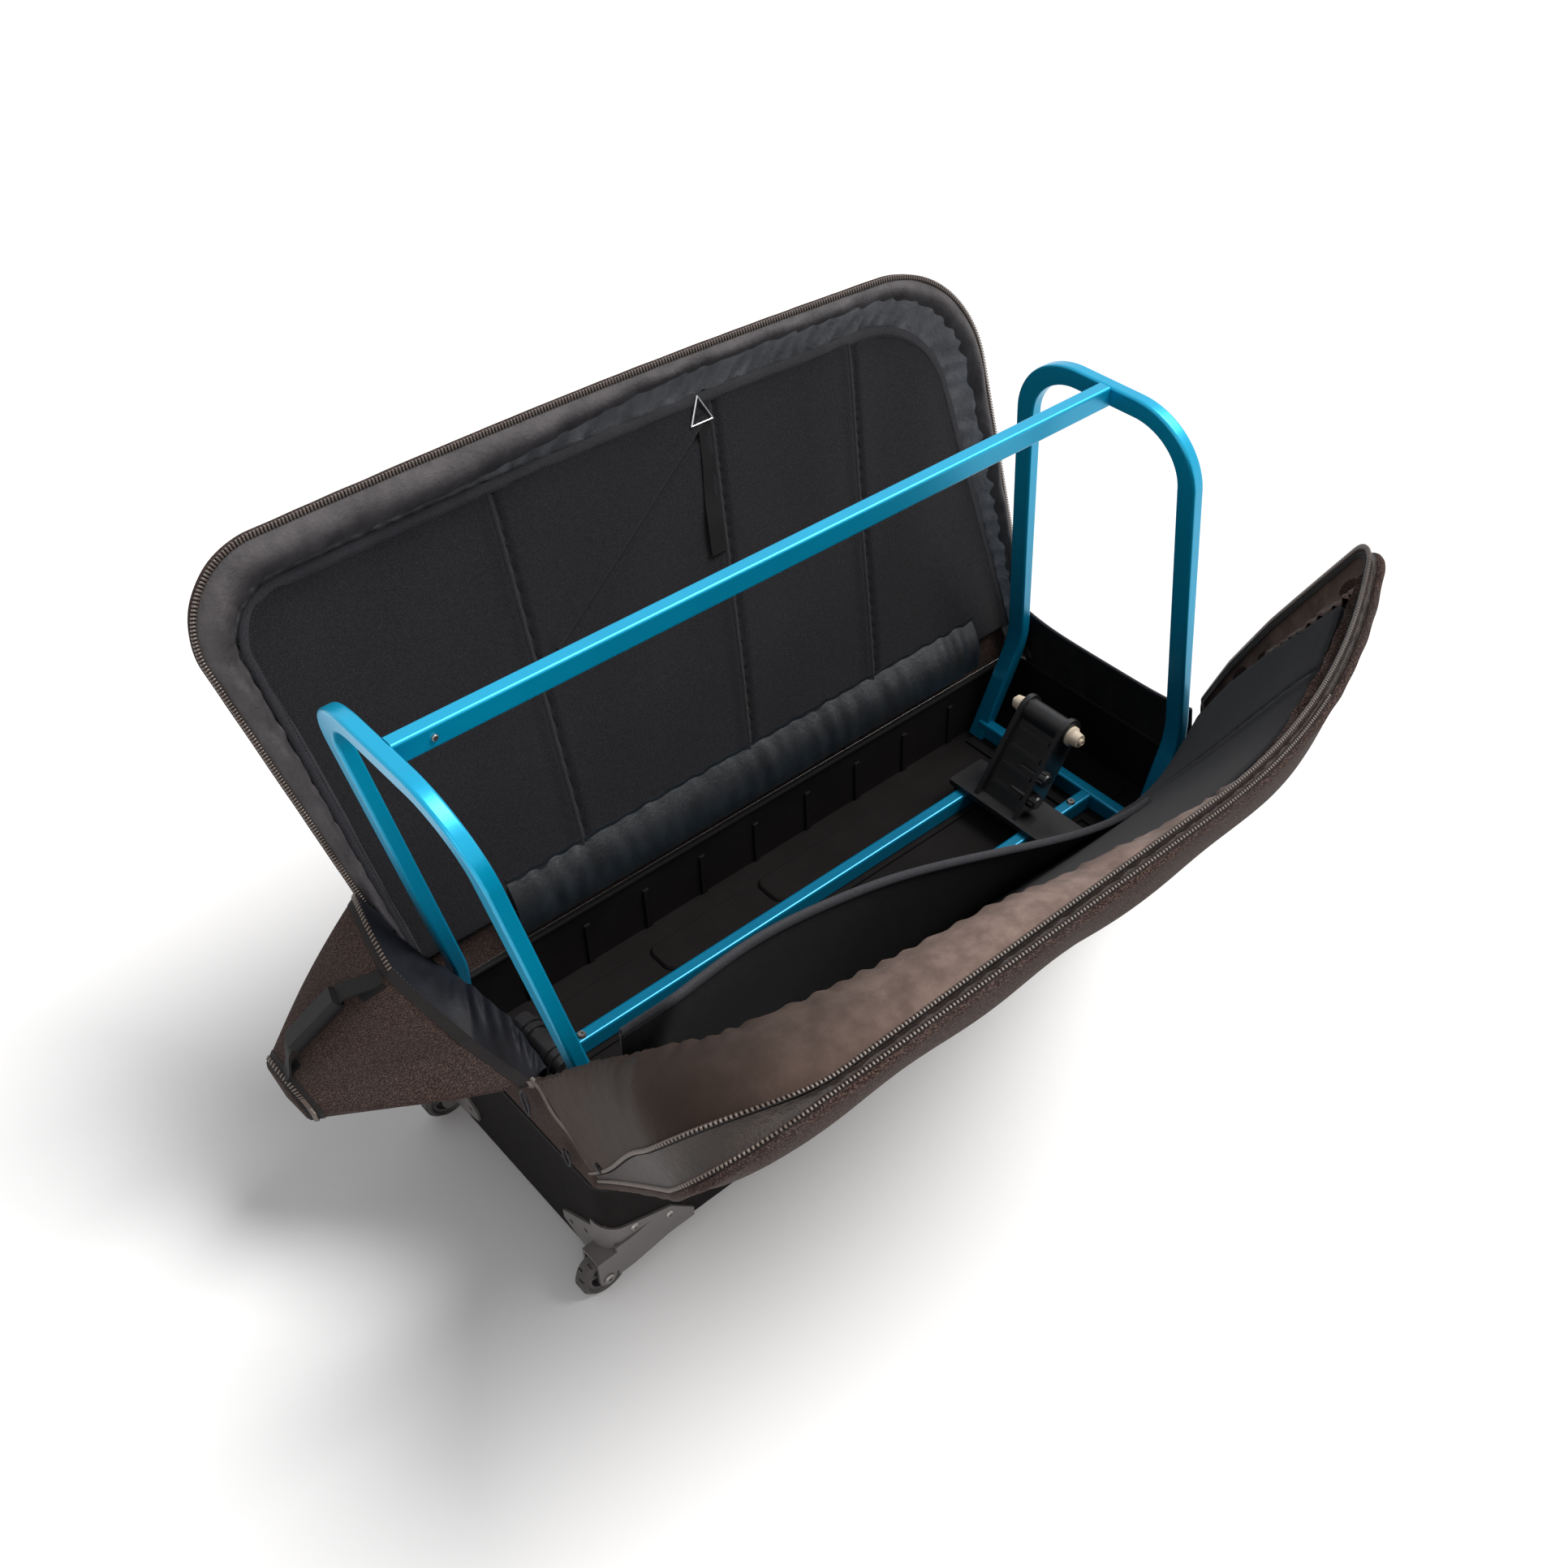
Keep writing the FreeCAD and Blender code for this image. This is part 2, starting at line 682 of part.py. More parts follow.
def wheel_hub():
    axis_z = wheel_axis_z()
    rim_out = wheel_radius - tyre_depth
    rim_in = rim_out - hub_rim_thickness
    y0 = wheel_center_y - wheel_width / 2.0
    y1 = wheel_center_y + wheel_width / 2.0
    bore = axle_radius + running_gap
    core = revolve_y([(bore, y0), (hub_core_radius * 0.7, y0), (hub_core_radius, y0 + tread_width),
                      (hub_core_radius, y1 - tread_width), (hub_core_radius * 0.7, y1), (bore, y1)],
                     wheel_center_x, axis_z)
    rim = revolve_y([(rim_in, y0 + tread_width), (rim_out, y0 + tread_width),
                     (rim_out, y1 - tread_width), (rim_in, y1 - tread_width)], wheel_center_x, axis_z)
    spokes = []
    for number in range(spoke_count):
        spoke = box(wheel_center_x + hub_core_radius * 0.8, wheel_center_x + rim_in + hub_rim_thickness * 0.5,
                    wheel_center_y - spoke_thickness / 2.0, wheel_center_y + spoke_thickness / 2.0,
                    axis_z - spoke_width / 2.0, axis_z + spoke_width / 2.0)
        spoke.rotate(V(wheel_center_x, 0, axis_z), V(0, 1, 0), 360.0 * number / spoke_count)
        spokes.append(spoke)
    return core.fuse([rim] + spokes).removeSplitter()


def tyre():
    axis_z = wheel_axis_z()
    inner = wheel_radius - tyre_depth
    y0 = wheel_center_y - wheel_width / 2.0
    y1 = wheel_center_y + wheel_width / 2.0
    ring = revolve_y([(inner, y0 + tread_width), (inner + tread_width, y0), (wheel_radius - tyre_crown, y0),
                      (wheel_radius, y0 + tyre_crown), (wheel_radius, y1 - tyre_crown),
                      (wheel_radius - tyre_crown, y1), (inner + tread_width, y1), (inner, y1 - tread_width)],
                     wheel_center_x, axis_z)
    for number in range(tread_count):
        side = y0 - overrun if number % 2 == 0 else wheel_center_y
        groove = box(wheel_center_x - tread_width / 2.0, wheel_center_x + tread_width / 2.0,
                     side, side + wheel_width / 2.0 + overrun,
                     axis_z + wheel_radius - tread_depth, axis_z + wheel_radius + overrun)
        groove.rotate(V(wheel_center_x, 0, axis_z), V(0, 1, 0), 360.0 * (number + 0.5) / tread_count)
        ring = ring.cut(groove)
    return ring


def belly_skid(x0, x1):
    outline = [(x0, 0), (x0 + skid_round, -skid_height), (x1 - skid_slope, -skid_height), (x1, 0)]
    solid = prism_xz(outline, skid_center_y - skid_width / 2.0, skid_center_y + skid_width / 2.0)
    low = [e for e in solid.Edges if e.BoundBox.ZMax < -skid_height + soft_gap]
    return solid.makeFillet(skid_round, low)


def tail_foot():
    # corner foot under the tail end: a sole on the floor and a stepped toe up the end wall
    reach = foot_end - tub_half_length
    outline = [(foot_start, 0), (foot_start + foot_round, -ground_drop), (tub_half_length, -ground_drop)]
    rise = (foot_toe + ground_drop) / foot_steps
    for number in range(foot_steps):
        x = tub_half_length + reach * (number + 1) / foot_steps
        z = -ground_drop + rise * number
        outline.append((x - reach * 0.12, z + rise * 0.35))
        outline.append((x, z + rise))
    outline += [(foot_end, foot_top - foot_round), (foot_end - foot_round, foot_top)]
    outline += [(tub_half_length - tub_wall, foot_top), (tub_half_length - tub_wall, 0)]
    solid = prism_xz(outline, foot_outer_y - foot_width, foot_outer_y)
    solid = solid.cut(tub_block(0, tub_height, 0))
    return main_solid(solid)


# Tube frame

def side_strip(top_x, knee_x, knee_z, foot_x, thickness, reach):
    lean = (top_x - knee_x) / (hoop_top_z - knee_z)
    foot_z = floor_level + pad_height - reach
    fall = (foot_x - knee_x) / (knee_z - floor_level - pad_height)
    high = hoop_top_z + tube_depth
    points = [
        V(foot_x + fall * reach, foot_z, 0), V(knee_x, knee_z, 0),
        V(top_x + lean * tube_depth, high, 0),
    ]
    face = strip_face(points, [knee_radius], thickness, lambda p: V(p.x, -hinge_y, p.y))
    return face.extrude(V(0, 2.0 * hinge_y, 0))


def leg_half(z):
    # half the distance between a hoop's legs at a height
    share = (z - floor_level - pad_height) / (hoop_top_z - floor_level - pad_height)
    return hoop_half_foot + (hoop_half_top - hoop_half_foot) * share


def front_outline(width, reach, far_x):
    foot_z = floor_level + pad_height - reach
    half = leg_half(foot_z)
    top = hoop_half_top
    points = [V(-half, foot_z, 0), V(-top, hoop_top_z, 0), V(top, hoop_top_z, 0), V(half, foot_z, 0)]
    face = strip_face(points, [hoop_corner, hoop_corner], width, lambda p: V(-far_x, p.x, p.y))
    return face.extrude(V(2.0 * far_x, 0, 0))


def hoop_solid(top_x, knee_x, knee_z, foot_x, wall, reach):
    spare = reach + tube_depth
    strip = side_strip(top_x, knee_x, knee_z, foot_x, tube_width - 2.0 * wall, spare)
    outline = front_outline(tube_depth - 2.0 * wall, spare, abs(top_x) + abs(knee_x))
    floor = floor_level + pad_height - reach
    solid = strip.common(outline)
    far = tub_half_length * 2.0
    low = box(-far, far, -hinge_y, hinge_y, floor - tube_depth * 3.0, floor)
    return solid.cut(low)


def long_edges(solid):
    # edges that run along a bent tube, not those round its open feet
    low = floor_level + pad_height + soft_gap
    return [e for e in solid.Edges if e.BoundBox.ZMax > low]


def hoop(top_x, knee_x, knee_z, foot_x):
    outer = hoop_solid(top_x, knee_x, knee_z, foot_x, 0, 0)
    rounded = outer.makeFillet(tube_round, long_edges(outer))
    inner = hoop_solid(top_x, knee_x, knee_z, foot_x, tube_wall, overrun)
    return rounded.cut(inner), outer


def tube_x(x0, x1, y, z):
    half = tube_width / 2.0
    outer = box(x0, x1, y - half, y + half, z - tube_depth / 2.0, z + tube_depth / 2.0)
    along = [e for e in outer.Edges if e.BoundBox.XLength > half]
    outer = outer.makeFillet(tube_round, along)
    inside = half - tube_wall
    high = tube_depth / 2.0 - tube_wall
    return outer.cut(box(x0 - overrun, x1 + overrun, y - inside, y + inside, z - high, z + high))


def tube_y(x, y0, y1, z):
    half = tube_width / 2.0
    outer = box(x - half, x + half, y0, y1, z - tube_depth / 2.0, z + tube_depth / 2.0)
    along = [e for e in outer.Edges if e.BoundBox.YLength > tube_depth]
    outer = outer.makeFillet(tube_round, along)
    inside = half - tube_wall
    high = tube_depth / 2.0 - tube_wall
    return outer.cut(box(x - inside, x + inside, y0 - overrun, y1 + overrun, z - high, z + high))


def cross_tube(x, hoop_block):
    # tube between the feet of a hoop, its ends shaped to the legs
    whole = tube_y(x, -hoop_half_foot, hoop_half_foot, rail_z())
    return main_solid(whole.cut(hoop_block))


def rail_z():
    return floor_level + pad_height + tube_depth / 2.0


def tail_cross_x():
    fall = (tail_knee_x - tail_foot_x) / (tail_knee_z - floor_level - pad_height)
    return tail_foot_x + fall * tube_depth / 2.0


def spigot_box(grow):
    nose_face = nose_top_x + tube_width / 2.0
    half = tube_width / 2.0 - tube_wall - spigot_gap + grow
    high = tube_depth / 2.0 - tube_wall - spigot_gap + grow
    end = nose_face + spigot_length
    return box(nose_face - tube_width, end, -half, half, hoop_top_z - high, hoop_top_z + high)


def lock_button_place():
    return nose_top_x + tube_width + lock_button_from_end


def build_frame():
    nose, nose_block = hoop(nose_top_x, nose_knee_x, nose_knee_z, nose_foot_x)
    tail, tail_block = hoop(tail_top_x, tail_knee_x, tail_knee_z, tail_foot_x)
    save("nose_hoop", nose)
    save("tail_hoop", tail)
    beam = tube_x(nose_top_x, tail_top_x, 0, hoop_top_z).cut(nose_block).cut(tail_block)
    button_x = lock_button_place()
    bore = rod_y(button_x, hoop_top_z, lock_button_radius + running_gap, -tube_width, 0)
    save("top_tube", main_solid(beam).cut(bore))
    spigot = main_solid(spigot_box(0).cut(nose_block))
    hole = lock_button_radius + running_gap
    pocket = rod_y(button_x, hoop_top_z, hole, -tube_width, lock_button_depth / 2.0)
    save("tube_spigot", spigot.cut(pocket))
    save("lock_button", lock_button(button_x))
    save("nose_cross_tube", cross_tube(nose_foot_x, nose_block))
    save("tail_cross_tube", cross_tube(tail_cross_x(), tail_block))
    rail_start = nose_foot_x + tube_width / 2.0
    rail_end = tail_cross_x() - tube_width / 2.0
    save("front_rail", tube_x(rail_start, rail_end, -rail_offset_y, rail_z()))
    save("back_rail", tube_x(rail_start, rail_end, rail_offset_y, rail_z()))
    rail_top = floor_level + pad_height + tube_depth
    heads = []
    for x in frame_bolt_x_places:
        for side in (-1, 1):
            y = side * rail_offset_y
            seat = V(x, y, rail_top)
            head = Part.makeCone(frame_bolt_head, frame_bolt_head * 0.75, frame_bolt_height, seat)
            socket = rod_z(x, y, frame_bolt_head * 0.4, rail_top + frame_bolt_height * 0.4,
                           rail_top + frame_bolt_height * 2.0)
            heads.append(head.cut(socket))
    save("frame_bolts", group(heads))


def main_solid(shape):
    return max(shape.Solids, key=lambda solid: solid.Volume)


def lock_button(x):
    # round button pushed in through the tube's front wall
    face_y = -tube_width / 2.0 - lock_button_proud
    button = rod_y(x, hoop_top_z, lock_button_radius, face_y, face_y + lock_button_depth)
    nose_edge = [e for e in button.Edges if e.BoundBox.YMax < face_y + soft_gap]
    return button.makeFillet(lock_button_radius * 0.4, nose_edge)


# Stands that hold the bicycle by its axles

def saddle_base(x0, x1, y0, y1):
    # plate lying on both rails with skirts that hug their outer sides
    rail_top = floor_level + pad_height + tube_depth
    low = rail_top + slide_gap / 2.0
    shape = box(x0, x1, y0, y1, low, low + stand_plate)
    for side in (-1, 1):
        inner = rail_offset_y + tube_width / 2.0 + slide_gap
        near, far = sorted((side * inner, side * (inner + stand_skirt_wall)))
        shape = shape.fuse(box(x0, x1, near, far, rail_top - stand_skirt_depth, low + stand_plate))
    return shape.removeSplitter()


def tower_outline(head_x, head_z, radius, foot_x0, foot_x1, foot_z):
    # outline of a leaning cheek: a foot and two sides tangent to a round head
    sides = []
    for foot_x, hand in ((foot_x0, 1.0), (foot_x1, -1.0)):
        away = V(head_x - foot_x, head_z - foot_z, 0)
        swing = atan2(radius, sqrt(away.Length ** 2 - radius ** 2))
        heading = atan2(away.y, away.x) + hand * swing
        reach = sqrt(away.Length ** 2 - radius ** 2)
        sides.append((foot_x + reach * cos(heading), foot_z + reach * sin(heading)))
    return [(foot_x0, foot_z), sides[0], (head_x, head_z), sides[1], (foot_x1, foot_z)]


def cheek_pair(outline, head_x, head_z, radius, half_width, thickness):
    cheeks = []
    for side in (-1, 1):
        y0, y1 = sorted((side * half_width, side * (half_width - thickness)))
        plate = prism_xz(outline, y0, y1).fuse(rod_y(head_x, head_z, radius, y0, y1))
        cheeks.append(plate.removeSplitter())
    return cheeks


def web_ribs(start, run, inward, length, half):
    # raised ribs across the tower's sloping web
    ribs = []
    for number in range(web_rib_count):
        low = start + run * (length * (number + web_rib_first_share) / (web_rib_count + web_rib_spare_share))
        proud = low - inward * web_rib_proud
        sunk = low + inward * (tower_web / 2.0)
        rib = polygon([sunk, proud + run * web_rib_bevel, proud + run * (web_rib_height - web_rib_bevel),
                       sunk + run * web_rib_height])
        rib = rib.extrude(V(0, half * web_rib_width_share * 2.0, 0))
        rib.translate(V(0, half * (1.0 - web_rib_width_share), 0))
        ribs.append(rib)
    return ribs


def rear_tower(plate_top):
    inset = tower_web_inset * 0.5
    outline = tower_outline(rear_axle_x, rear_axle_z, tower_head_radius,
                            stand_x0 + inset, stand_x1 - inset, plate_top)
    cheeks = cheek_pair(outline, rear_axle_x, rear_axle_z, tower_head_radius, tower_half_width, tower_cheek)
    half = tower_half_width - tower_cheek
    (foot_x, foot_z), (top_x, top_z) = outline[0], outline[1]
    slope = V(top_x - foot_x, 0, top_z - foot_z)
    length = slope.Length - axle_tube_radius * 0.5
    run = slope.normalize()
    inward = V(run.z, 0, -run.x)
    start = V(foot_x, -half, foot_z) + inward * tower_web_inset
    end = start + run * length
    thick = inward * tower_web
    web = polygon([start, end, end + thick, start + thick]).extrude(V(0, half * 2.0, 0))
    foot = plate_top - stand_plate * 3.0
    web = web.cut(box(stand_x0 - overrun, stand_x1 + overrun, -half, half, foot, plate_top))
    tower = cheeks[0].fuse([cheeks[1], web] + web_ribs(start, run, inward, length, half))
    tower = tower.cut(rod_y(rear_axle_x, rear_axle_z, axle_tube_radius, -hinge_y, hinge_y))
    for x, z in knob_places:
        tower = tower.cut(rod_y(x, z, knob_stud_radius + running_gap, -hinge_y, 0))
    return main_solid(tower.removeSplitter())


def is_upright(edge):
    return edge.BoundBox.ZLength > stand_plate * 0.9 and edge.BoundBox.XLength < soft_gap


def build_rear_stand():
    rail_top = floor_level + pad_height + tube_depth
    base = saddle_base(stand_x0, stand_x1, stand_front_y, stand_back_y)
    base = base.makeFillet(stand_plate * 0.25, [edge for edge in base.Edges if is_upright(edge)])
    save("rear_stand_base", base)
    save("rear_stand_tower", rear_tower(rail_top + slide_gap / 2.0 + stand_plate))
    tube = rod_y(rear_axle_x, rear_axle_z, axle_tube_radius, -axle_tube_half, axle_tube_half)
    tube = tube.cut(rod_y(rear_axle_x, rear_axle_z, skewer_bore_radius, -hinge_y, hinge_y))
    save("rear_axle_tube", tube)
    cone = axle_cone()
    save("rear_cone_front", mirror_y(cone))
    save("rear_cone_back", cone)
    for number, (x, z) in enumerate(knob_places):
        save("clamp_knob_%d" % (number + 1), clamp_knob(x, z))


def axle_cone():
    # stepped adapter on the +Y end of the rear axle tube
    start = axle_tube_half
    end = rear_half_spacing
    outline = [
        (skewer_bore_radius, start), (cone_base_radius, start), (cone_base_radius, start + cone_collar * 0.6),
        (cone_tip_radius + cone_collar * 0.3, start + cone_collar), (cone_tip_radius, end),
        (dropout_spigot_radius, end), (dropout_spigot_radius, end + dropout_spigot_length),
        (skewer_bore_radius, end + dropout_spigot_length),
    ]
    return revolve_y(outline, rear_axle_x, rear_axle_z)


def clamp_knob(x, z):
    # a fluted grip with a smaller coned cap, on a plain stud
    face = -tower_half_width - slide_gap
    grip_end = face - knob_thickness * knob_grip_share
    body = rod_y(x, z, knob_radius, grip_end, face)
    reach = knob_radius + knob_lobe_radius * knob_flute_share
    for number in range(knob_lobes):
        angle = 2.0 * pi * (number + 0.5) / knob_lobes
        flute = rod_y(x + reach * cos(angle), z + reach * sin(angle), knob_lobe_radius,
                      grip_end - overrun, face + overrun)
        body = body.cut(flute)
    cap_radius = reach - knob_lobe_radius - slide_gap
    cap = Part.makeCone(cap_radius, cap_radius * knob_cap_share, knob_thickness * (1.0 - knob_grip_share),
                        V(x, grip_end, z), V(0, -1, 0))
    stud = rod_y(x, z, knob_stud_radius, face, -tower_half_width + tower_cheek)
    return body.fuse([cap, stud])


def build_fork_stand():
    rail_top = floor_level + pad_height + tube_depth
    plate_top = rail_top + slide_gap / 2.0 + stand_plate
    base = saddle_base(fork_base_x0, fork_base_x1, -fork_base_half_width, fork_base_half_width)
    outline = tower_outline(fork_axle_x, fork_axle_z, fork_head_radius, fork_base_x0, fork_base_x1, plate_top)
    half = fork_cheek_half_gap + fork_cheek
    cheeks = cheek_pair(outline, fork_axle_x, fork_axle_z, fork_head_radius, half, fork_cheek)
    (foot_x, foot_z), (top_x, top_z) = outline[-1], outline[-2]
    web = prism_xz([(foot_x - fork_cheek * 2.0, foot_z), (foot_x - fork_cheek, foot_z),
                    (top_x - fork_cheek, top_z), (top_x - fork_cheek * 2.0, top_z)],
                   -fork_cheek_half_gap, fork_cheek_half_gap)
    stand = base.fuse(cheeks + [web])
    stand = stand.cut(rod_y(fork_axle_x, fork_axle_z, fork_tube_radius, -hinge_y, hinge_y))
    save("fork_stand", main_solid(stand.removeSplitter()))
    end = fork_half_spacing
    tip = end + dropout_spigot_length
    hub = revolve_y([
        (skewer_bore_radius, -tip), (dropout_spigot_radius, -tip), (dropout_spigot_radius, -end),
        (fork_tube_radius, -end), (fork_tube_radius, end), (dropout_spigot_radius, end),
        (dropout_spigot_radius, tip), (skewer_bore_radius, tip),
    ], fork_axle_x, fork_axle_z)
    save("fork_axle", hub)
    rings = []
    for side in (-1, 1):
        y0 = side * fork_ring_offset - fork_ring_width / 2.0
        ring = rod_y(fork_axle_x, fork_axle_z, fork_ring_radius, y0, y0 + fork_ring_width)
        rings.append(ring.cut(rod_y(fork_axle_x, fork_axle_z, fork_tube_radius, -hinge_y, hinge_y)))
    save("fork_axle_rings", group(rings))


# Soft side panels, drawn lying in their own plane: x along the case, y up the panel

def panel_points(inset, foot):
    # outline of the panel's zipped edge
    slope_nose = (panel_top_nose + panel_foot_half) / panel_height
    slope_tail = (panel_top_tail - panel_foot_half) / panel_height
    top = panel_height - inset
    return [
        V(-panel_foot_half + slope_nose * foot + inset, foot, 0),
        V(panel_foot_half + slope_tail * foot - inset, foot, 0),
        V(panel_foot_half + slope_tail * top - inset, top, 0),
        V(-panel_foot_half + slope_nose * top + inset, top, 0),
    ]


def tray_points(inset, foot):
    # outline of the panel's stiff middle, which the soft border flares out from
    top = panel_height - border_head
    slope_nose = (panel_top_nose + border_head + panel_foot_half - border_foot) / top
    slope_tail = (panel_top_tail - border_head - panel_foot_half + border_foot) / top
    high = top - inset
    low_nose = -panel_foot_half + border_foot + inset
    low_tail = panel_foot_half - border_foot - inset
    return [
        V(low_nose + slope_nose * foot, foot, 0), V(low_tail + slope_tail * foot, foot, 0),
        V(low_tail + slope_tail * high, high, 0), V(low_nose + slope_nose * high, high, 0),
    ]


def panel_place(side, lean_deg):
    # maps panel coordinates (along, up, depth inwards) into space; side -1 is the front panel
    lean = radians(lean_deg)

    def place(p):
        y = hinge_y + p.y * sin(lean) - p.z * cos(lean)
        z = hinge_z + p.y * cos(lean) + p.z * sin(lean)
        return V(p.x, side * y, z)
    return place


def slab(points, radii, depth0, depth1, place):
    base = outline_face(points, radii, lambda p: place(V(p.x, p.y, depth0)))
    reach = place(V(0, 0, depth1)) - place(V(0, 0, depth0))
    return base.extrude(reach)


def outline_radii(inset, foot_radius):
    return [foot_radius, foot_radius, panel_corner_tail - inset, panel_corner_nose - inset]


def tray_radii(inset, foot_radius):
    shrink = border_head / 2.0 + inset
    return [foot_radius, foot_radius, panel_corner_tail - shrink, panel_corner_nose - shrink]


def border_loft(inset, foot, depth0, depth1, place):
    # solid flaring from the tray's outline at depth0 to the zipped edge at depth1
    low = outline_face(tray_points(inset, foot), tray_radii(inset, panel_foot_round),
                       lambda p: place(V(p.x, p.y, depth0)))
    high = outline_face(panel_points(inset, foot), outline_radii(inset, panel_foot_round),
                        lambda p: place(V(p.x, p.y, depth1)))
    return Part.makeLoft([low.OuterWire, high.OuterWire], True, True)


def zip_band(depth, place):
    low_foot = panel_start - overrun * 2.0
    band = slab(panel_points(-zip_outset, panel_start), outline_radii(-zip_outset, panel_foot_round),
                depth, depth + zip_height, place)
    inner = zip_width - zip_outset
    return band.cut(slab(panel_points(inner, low_foot), outline_radii(inner, panel_foot_round),
                         depth - overrun, depth + zip_height + overrun, place))


def panel_border(depth, place):
    outer = border_loft(0, panel_start, panel_shell, depth, place)
    return outer.cut(border_loft(border_wall, panel_start - overrun * 2.0, panel_shell, depth, place))


def panel_pieces(depth, place):
    # the four layers of a side panel by name, and the depth of the pad's face
    pad_low = panel_shell + soft_gap
    points = tray_points(pad_inset, pad_foot_inset)
    pieces = {
        "_shell": slab(tray_points(0, panel_start), tray_radii(0, panel_foot_round), 0, panel_shell, place),
        "_border": main_solid(panel_border(depth, place)),
        "_zip": zip_band(depth, place),
        "_pad": slab(points, tray_radii(pad_inset, pad_foot_corner), pad_low, pad_low + pad_thickness, place),
    }
    return pieces, pad_low + pad_thickness


def border_shelf(place):
    # soft shelf hanging inwards from the front border, deep at the nose and shallow in the middle
    slope = (front_border_depth - panel_shell) / border_head
    wires = []
    for x, inset, depth in shelf_stations:
        section = []
        for down in (shelf_root_high, shelf_root_low):
            section.append((down, front_border_depth - (down - border_wall) * slope - shelf_root_sink))
        section.append((inset + shelf_thickness, depth - shelf_thickness))
        section.append((inset, depth))
        points = [place(V(x, panel_height - down, deep)) for down, deep in section]
        wires.append(Part.makePolygon(points + points[:1]))
    return Part.makeLoft(wires, True, True)


def fold_frame(place):
    # the slanting line that the front panel's tail corner is folded about, and its three directions
    depth = front_border_depth + zip_height + soft_gap
    foot = place(V(fold_foot_x, 0, depth))
    along = (place(V(fold_top_x, panel_height, depth)) - foot).normalize()
    inward = place(V(0, 0, 1)) - place(V(0, 0, 0))
    tailward = along.cross(inward)
    if tailward.x < 0:
        tailward = -tailward
    return foot, along, inward, tailward


def folded(shape, place):
    # the tail corner turned inwards; the gap that the turn opens is filled by a swept wedge
    foot, along, inward, tailward = fold_frame(place)
    reach = panel_height * 2.0
    corners = [(-reach, -reach), (reach, -reach), (reach, reach), (-reach, reach)]
    half_space = polygon([foot + along * a + inward * d for a, d in corners]).extrude(tailward * reach)
    tail = shape.common(half_space)
    turn = fold_deg
    if along.cross(tailward).dot(inward) < 0:
        turn = -fold_deg
    seams = []
    for face in tail.Faces:
        if all(abs((vertex.Point - foot).dot(tailward)) < seam_tolerance for vertex in face.Vertexes):
            seams.append(face.revolve(foot, along, turn))
    tail.rotate(foot, along, turn)
    whole = shape.cut(half_space).fuse(seams + [tail])
    return main_solid(whole.removeSplitter())


def rectangle(x0, x1, y0, y1):
    return [V(x0, y0, 0), V(x1, y0, 0), V(x1, y1, 0), V(x0, y1, 0)]


def build_back_panel():
    place = panel_place(1, back_lean_deg)
    pieces, face = panel_pieces(back_border_depth, place)
    for layer, shape in pieces.items():
        save("back_panel" + layer, shape)
    low = face + soft_gap
    points = rectangle(pocket_nose_x, pocket_tail_x, pocket_start, pocket_start + pocket_height)
    rounding = [panel_shell] * len(points)
    save("back_pocket", slab(points, rounding, low, low + pocket_thickness, place))
    save("hook_strap", hook_strap(place, low))
    save("strap_hook", strap_hook(place, low))


def hook_strap(place, low):
    # webbing lying on the pad, with a thick loop at its top that the wire hook passes through
    high = low + strap_thickness * 2.0 + hook_wire + hook_gap * 2.0
    loop_low = strap_top - hook_wire * 4.0
    profile = [(strap_top - strap_length, low), (strap_top, low), (strap_top, high), (loop_low, high),
               (loop_low, low + strap_thickness), (strap_top - strap_length, low + strap_thickness)]
    start = strap_x - strap_width / 2.0
    face = polygon([place(V(start, up, depth)) for up, depth in profile])
    strap = face.extrude(V(strap_width, 0, 0))
    eye = hook_axis(place, low)
    reach = hook_half_width * 2.0
    return strap.cut(rod_between(eye(-reach), eye(reach), hook_wire / 2.0 + hook_gap))


def hook_axis(place, low):
    depth = low + strap_thickness + hook_wire / 2.0 + hook_gap
    return lambda x: place(V(strap_x + x, strap_top - hook_wire * 2.0, depth))


def strap_hook(place, low):
    # triangular wire hook that swings on the strap's loop
    eye = hook_axis(place, low)
    depth = low + strap_thickness + hook_wire / 2.0 + hook_gap
    tip = place(V(strap_x, strap_top - hook_wire * 2.0 + hook_height, depth))
    left, right = eye(-hook_half_width), eye(hook_half_width)
    wire = rod_between(left, right, hook_wire / 2.0)
    for start, end in ((left, tip), (right, tip)):
        wire = wire.fuse(rod_between(start, end, hook_wire / 2.0))
    for corner in (left, right, tip):
        wire = wire.fuse(Part.makeSphere(hook_wire / 2.0, corner))
    return wire


def tilted_place(place, tilt_deg, foot_up, foot_depth):
    # a plane turned inwards from the panel about a line across it
    tilt = radians(tilt_deg)

    def tilted(p):
        up = foot_up + p.y * cos(tilt) - p.z * sin(tilt)
        depth = foot_depth + p.y * sin(tilt) + p.z * cos(tilt)
        return place(V(p.x, up, depth))
    return tilted


def build_front_panel():
    place = panel_place(-1, front_lean_deg)
    pieces, face = panel_pieces(front_border_depth, place)
    pieces["_border"] = main_solid(pieces["_border"].fuse(border_shelf(place)))
    for layer, shape in pieces.items():
        save("front_panel" + layer, folded(shape, place))
    stand = tilted_place(place, wheel_pocket_tilt_deg, pad_foot_inset + panel_shell, face + soft_gap)
    points = [
        V(wheel_pocket_nose_x, 0, 0), V(wheel_pocket_tail_x, 0, 0),
        V(wheel_pocket_tail_x, wheel_pocket_tail_height, 0),
        V(wheel_pocket_nose_x, wheel_pocket_nose_height, 0),
    ]
    radii = [pad_foot_corner, pad_foot_corner, wheel_pocket_corner, wheel_pocket_corner]
    save("wheel_pocket", slab(points, radii, 0, wheel_pocket_thickness, stand))


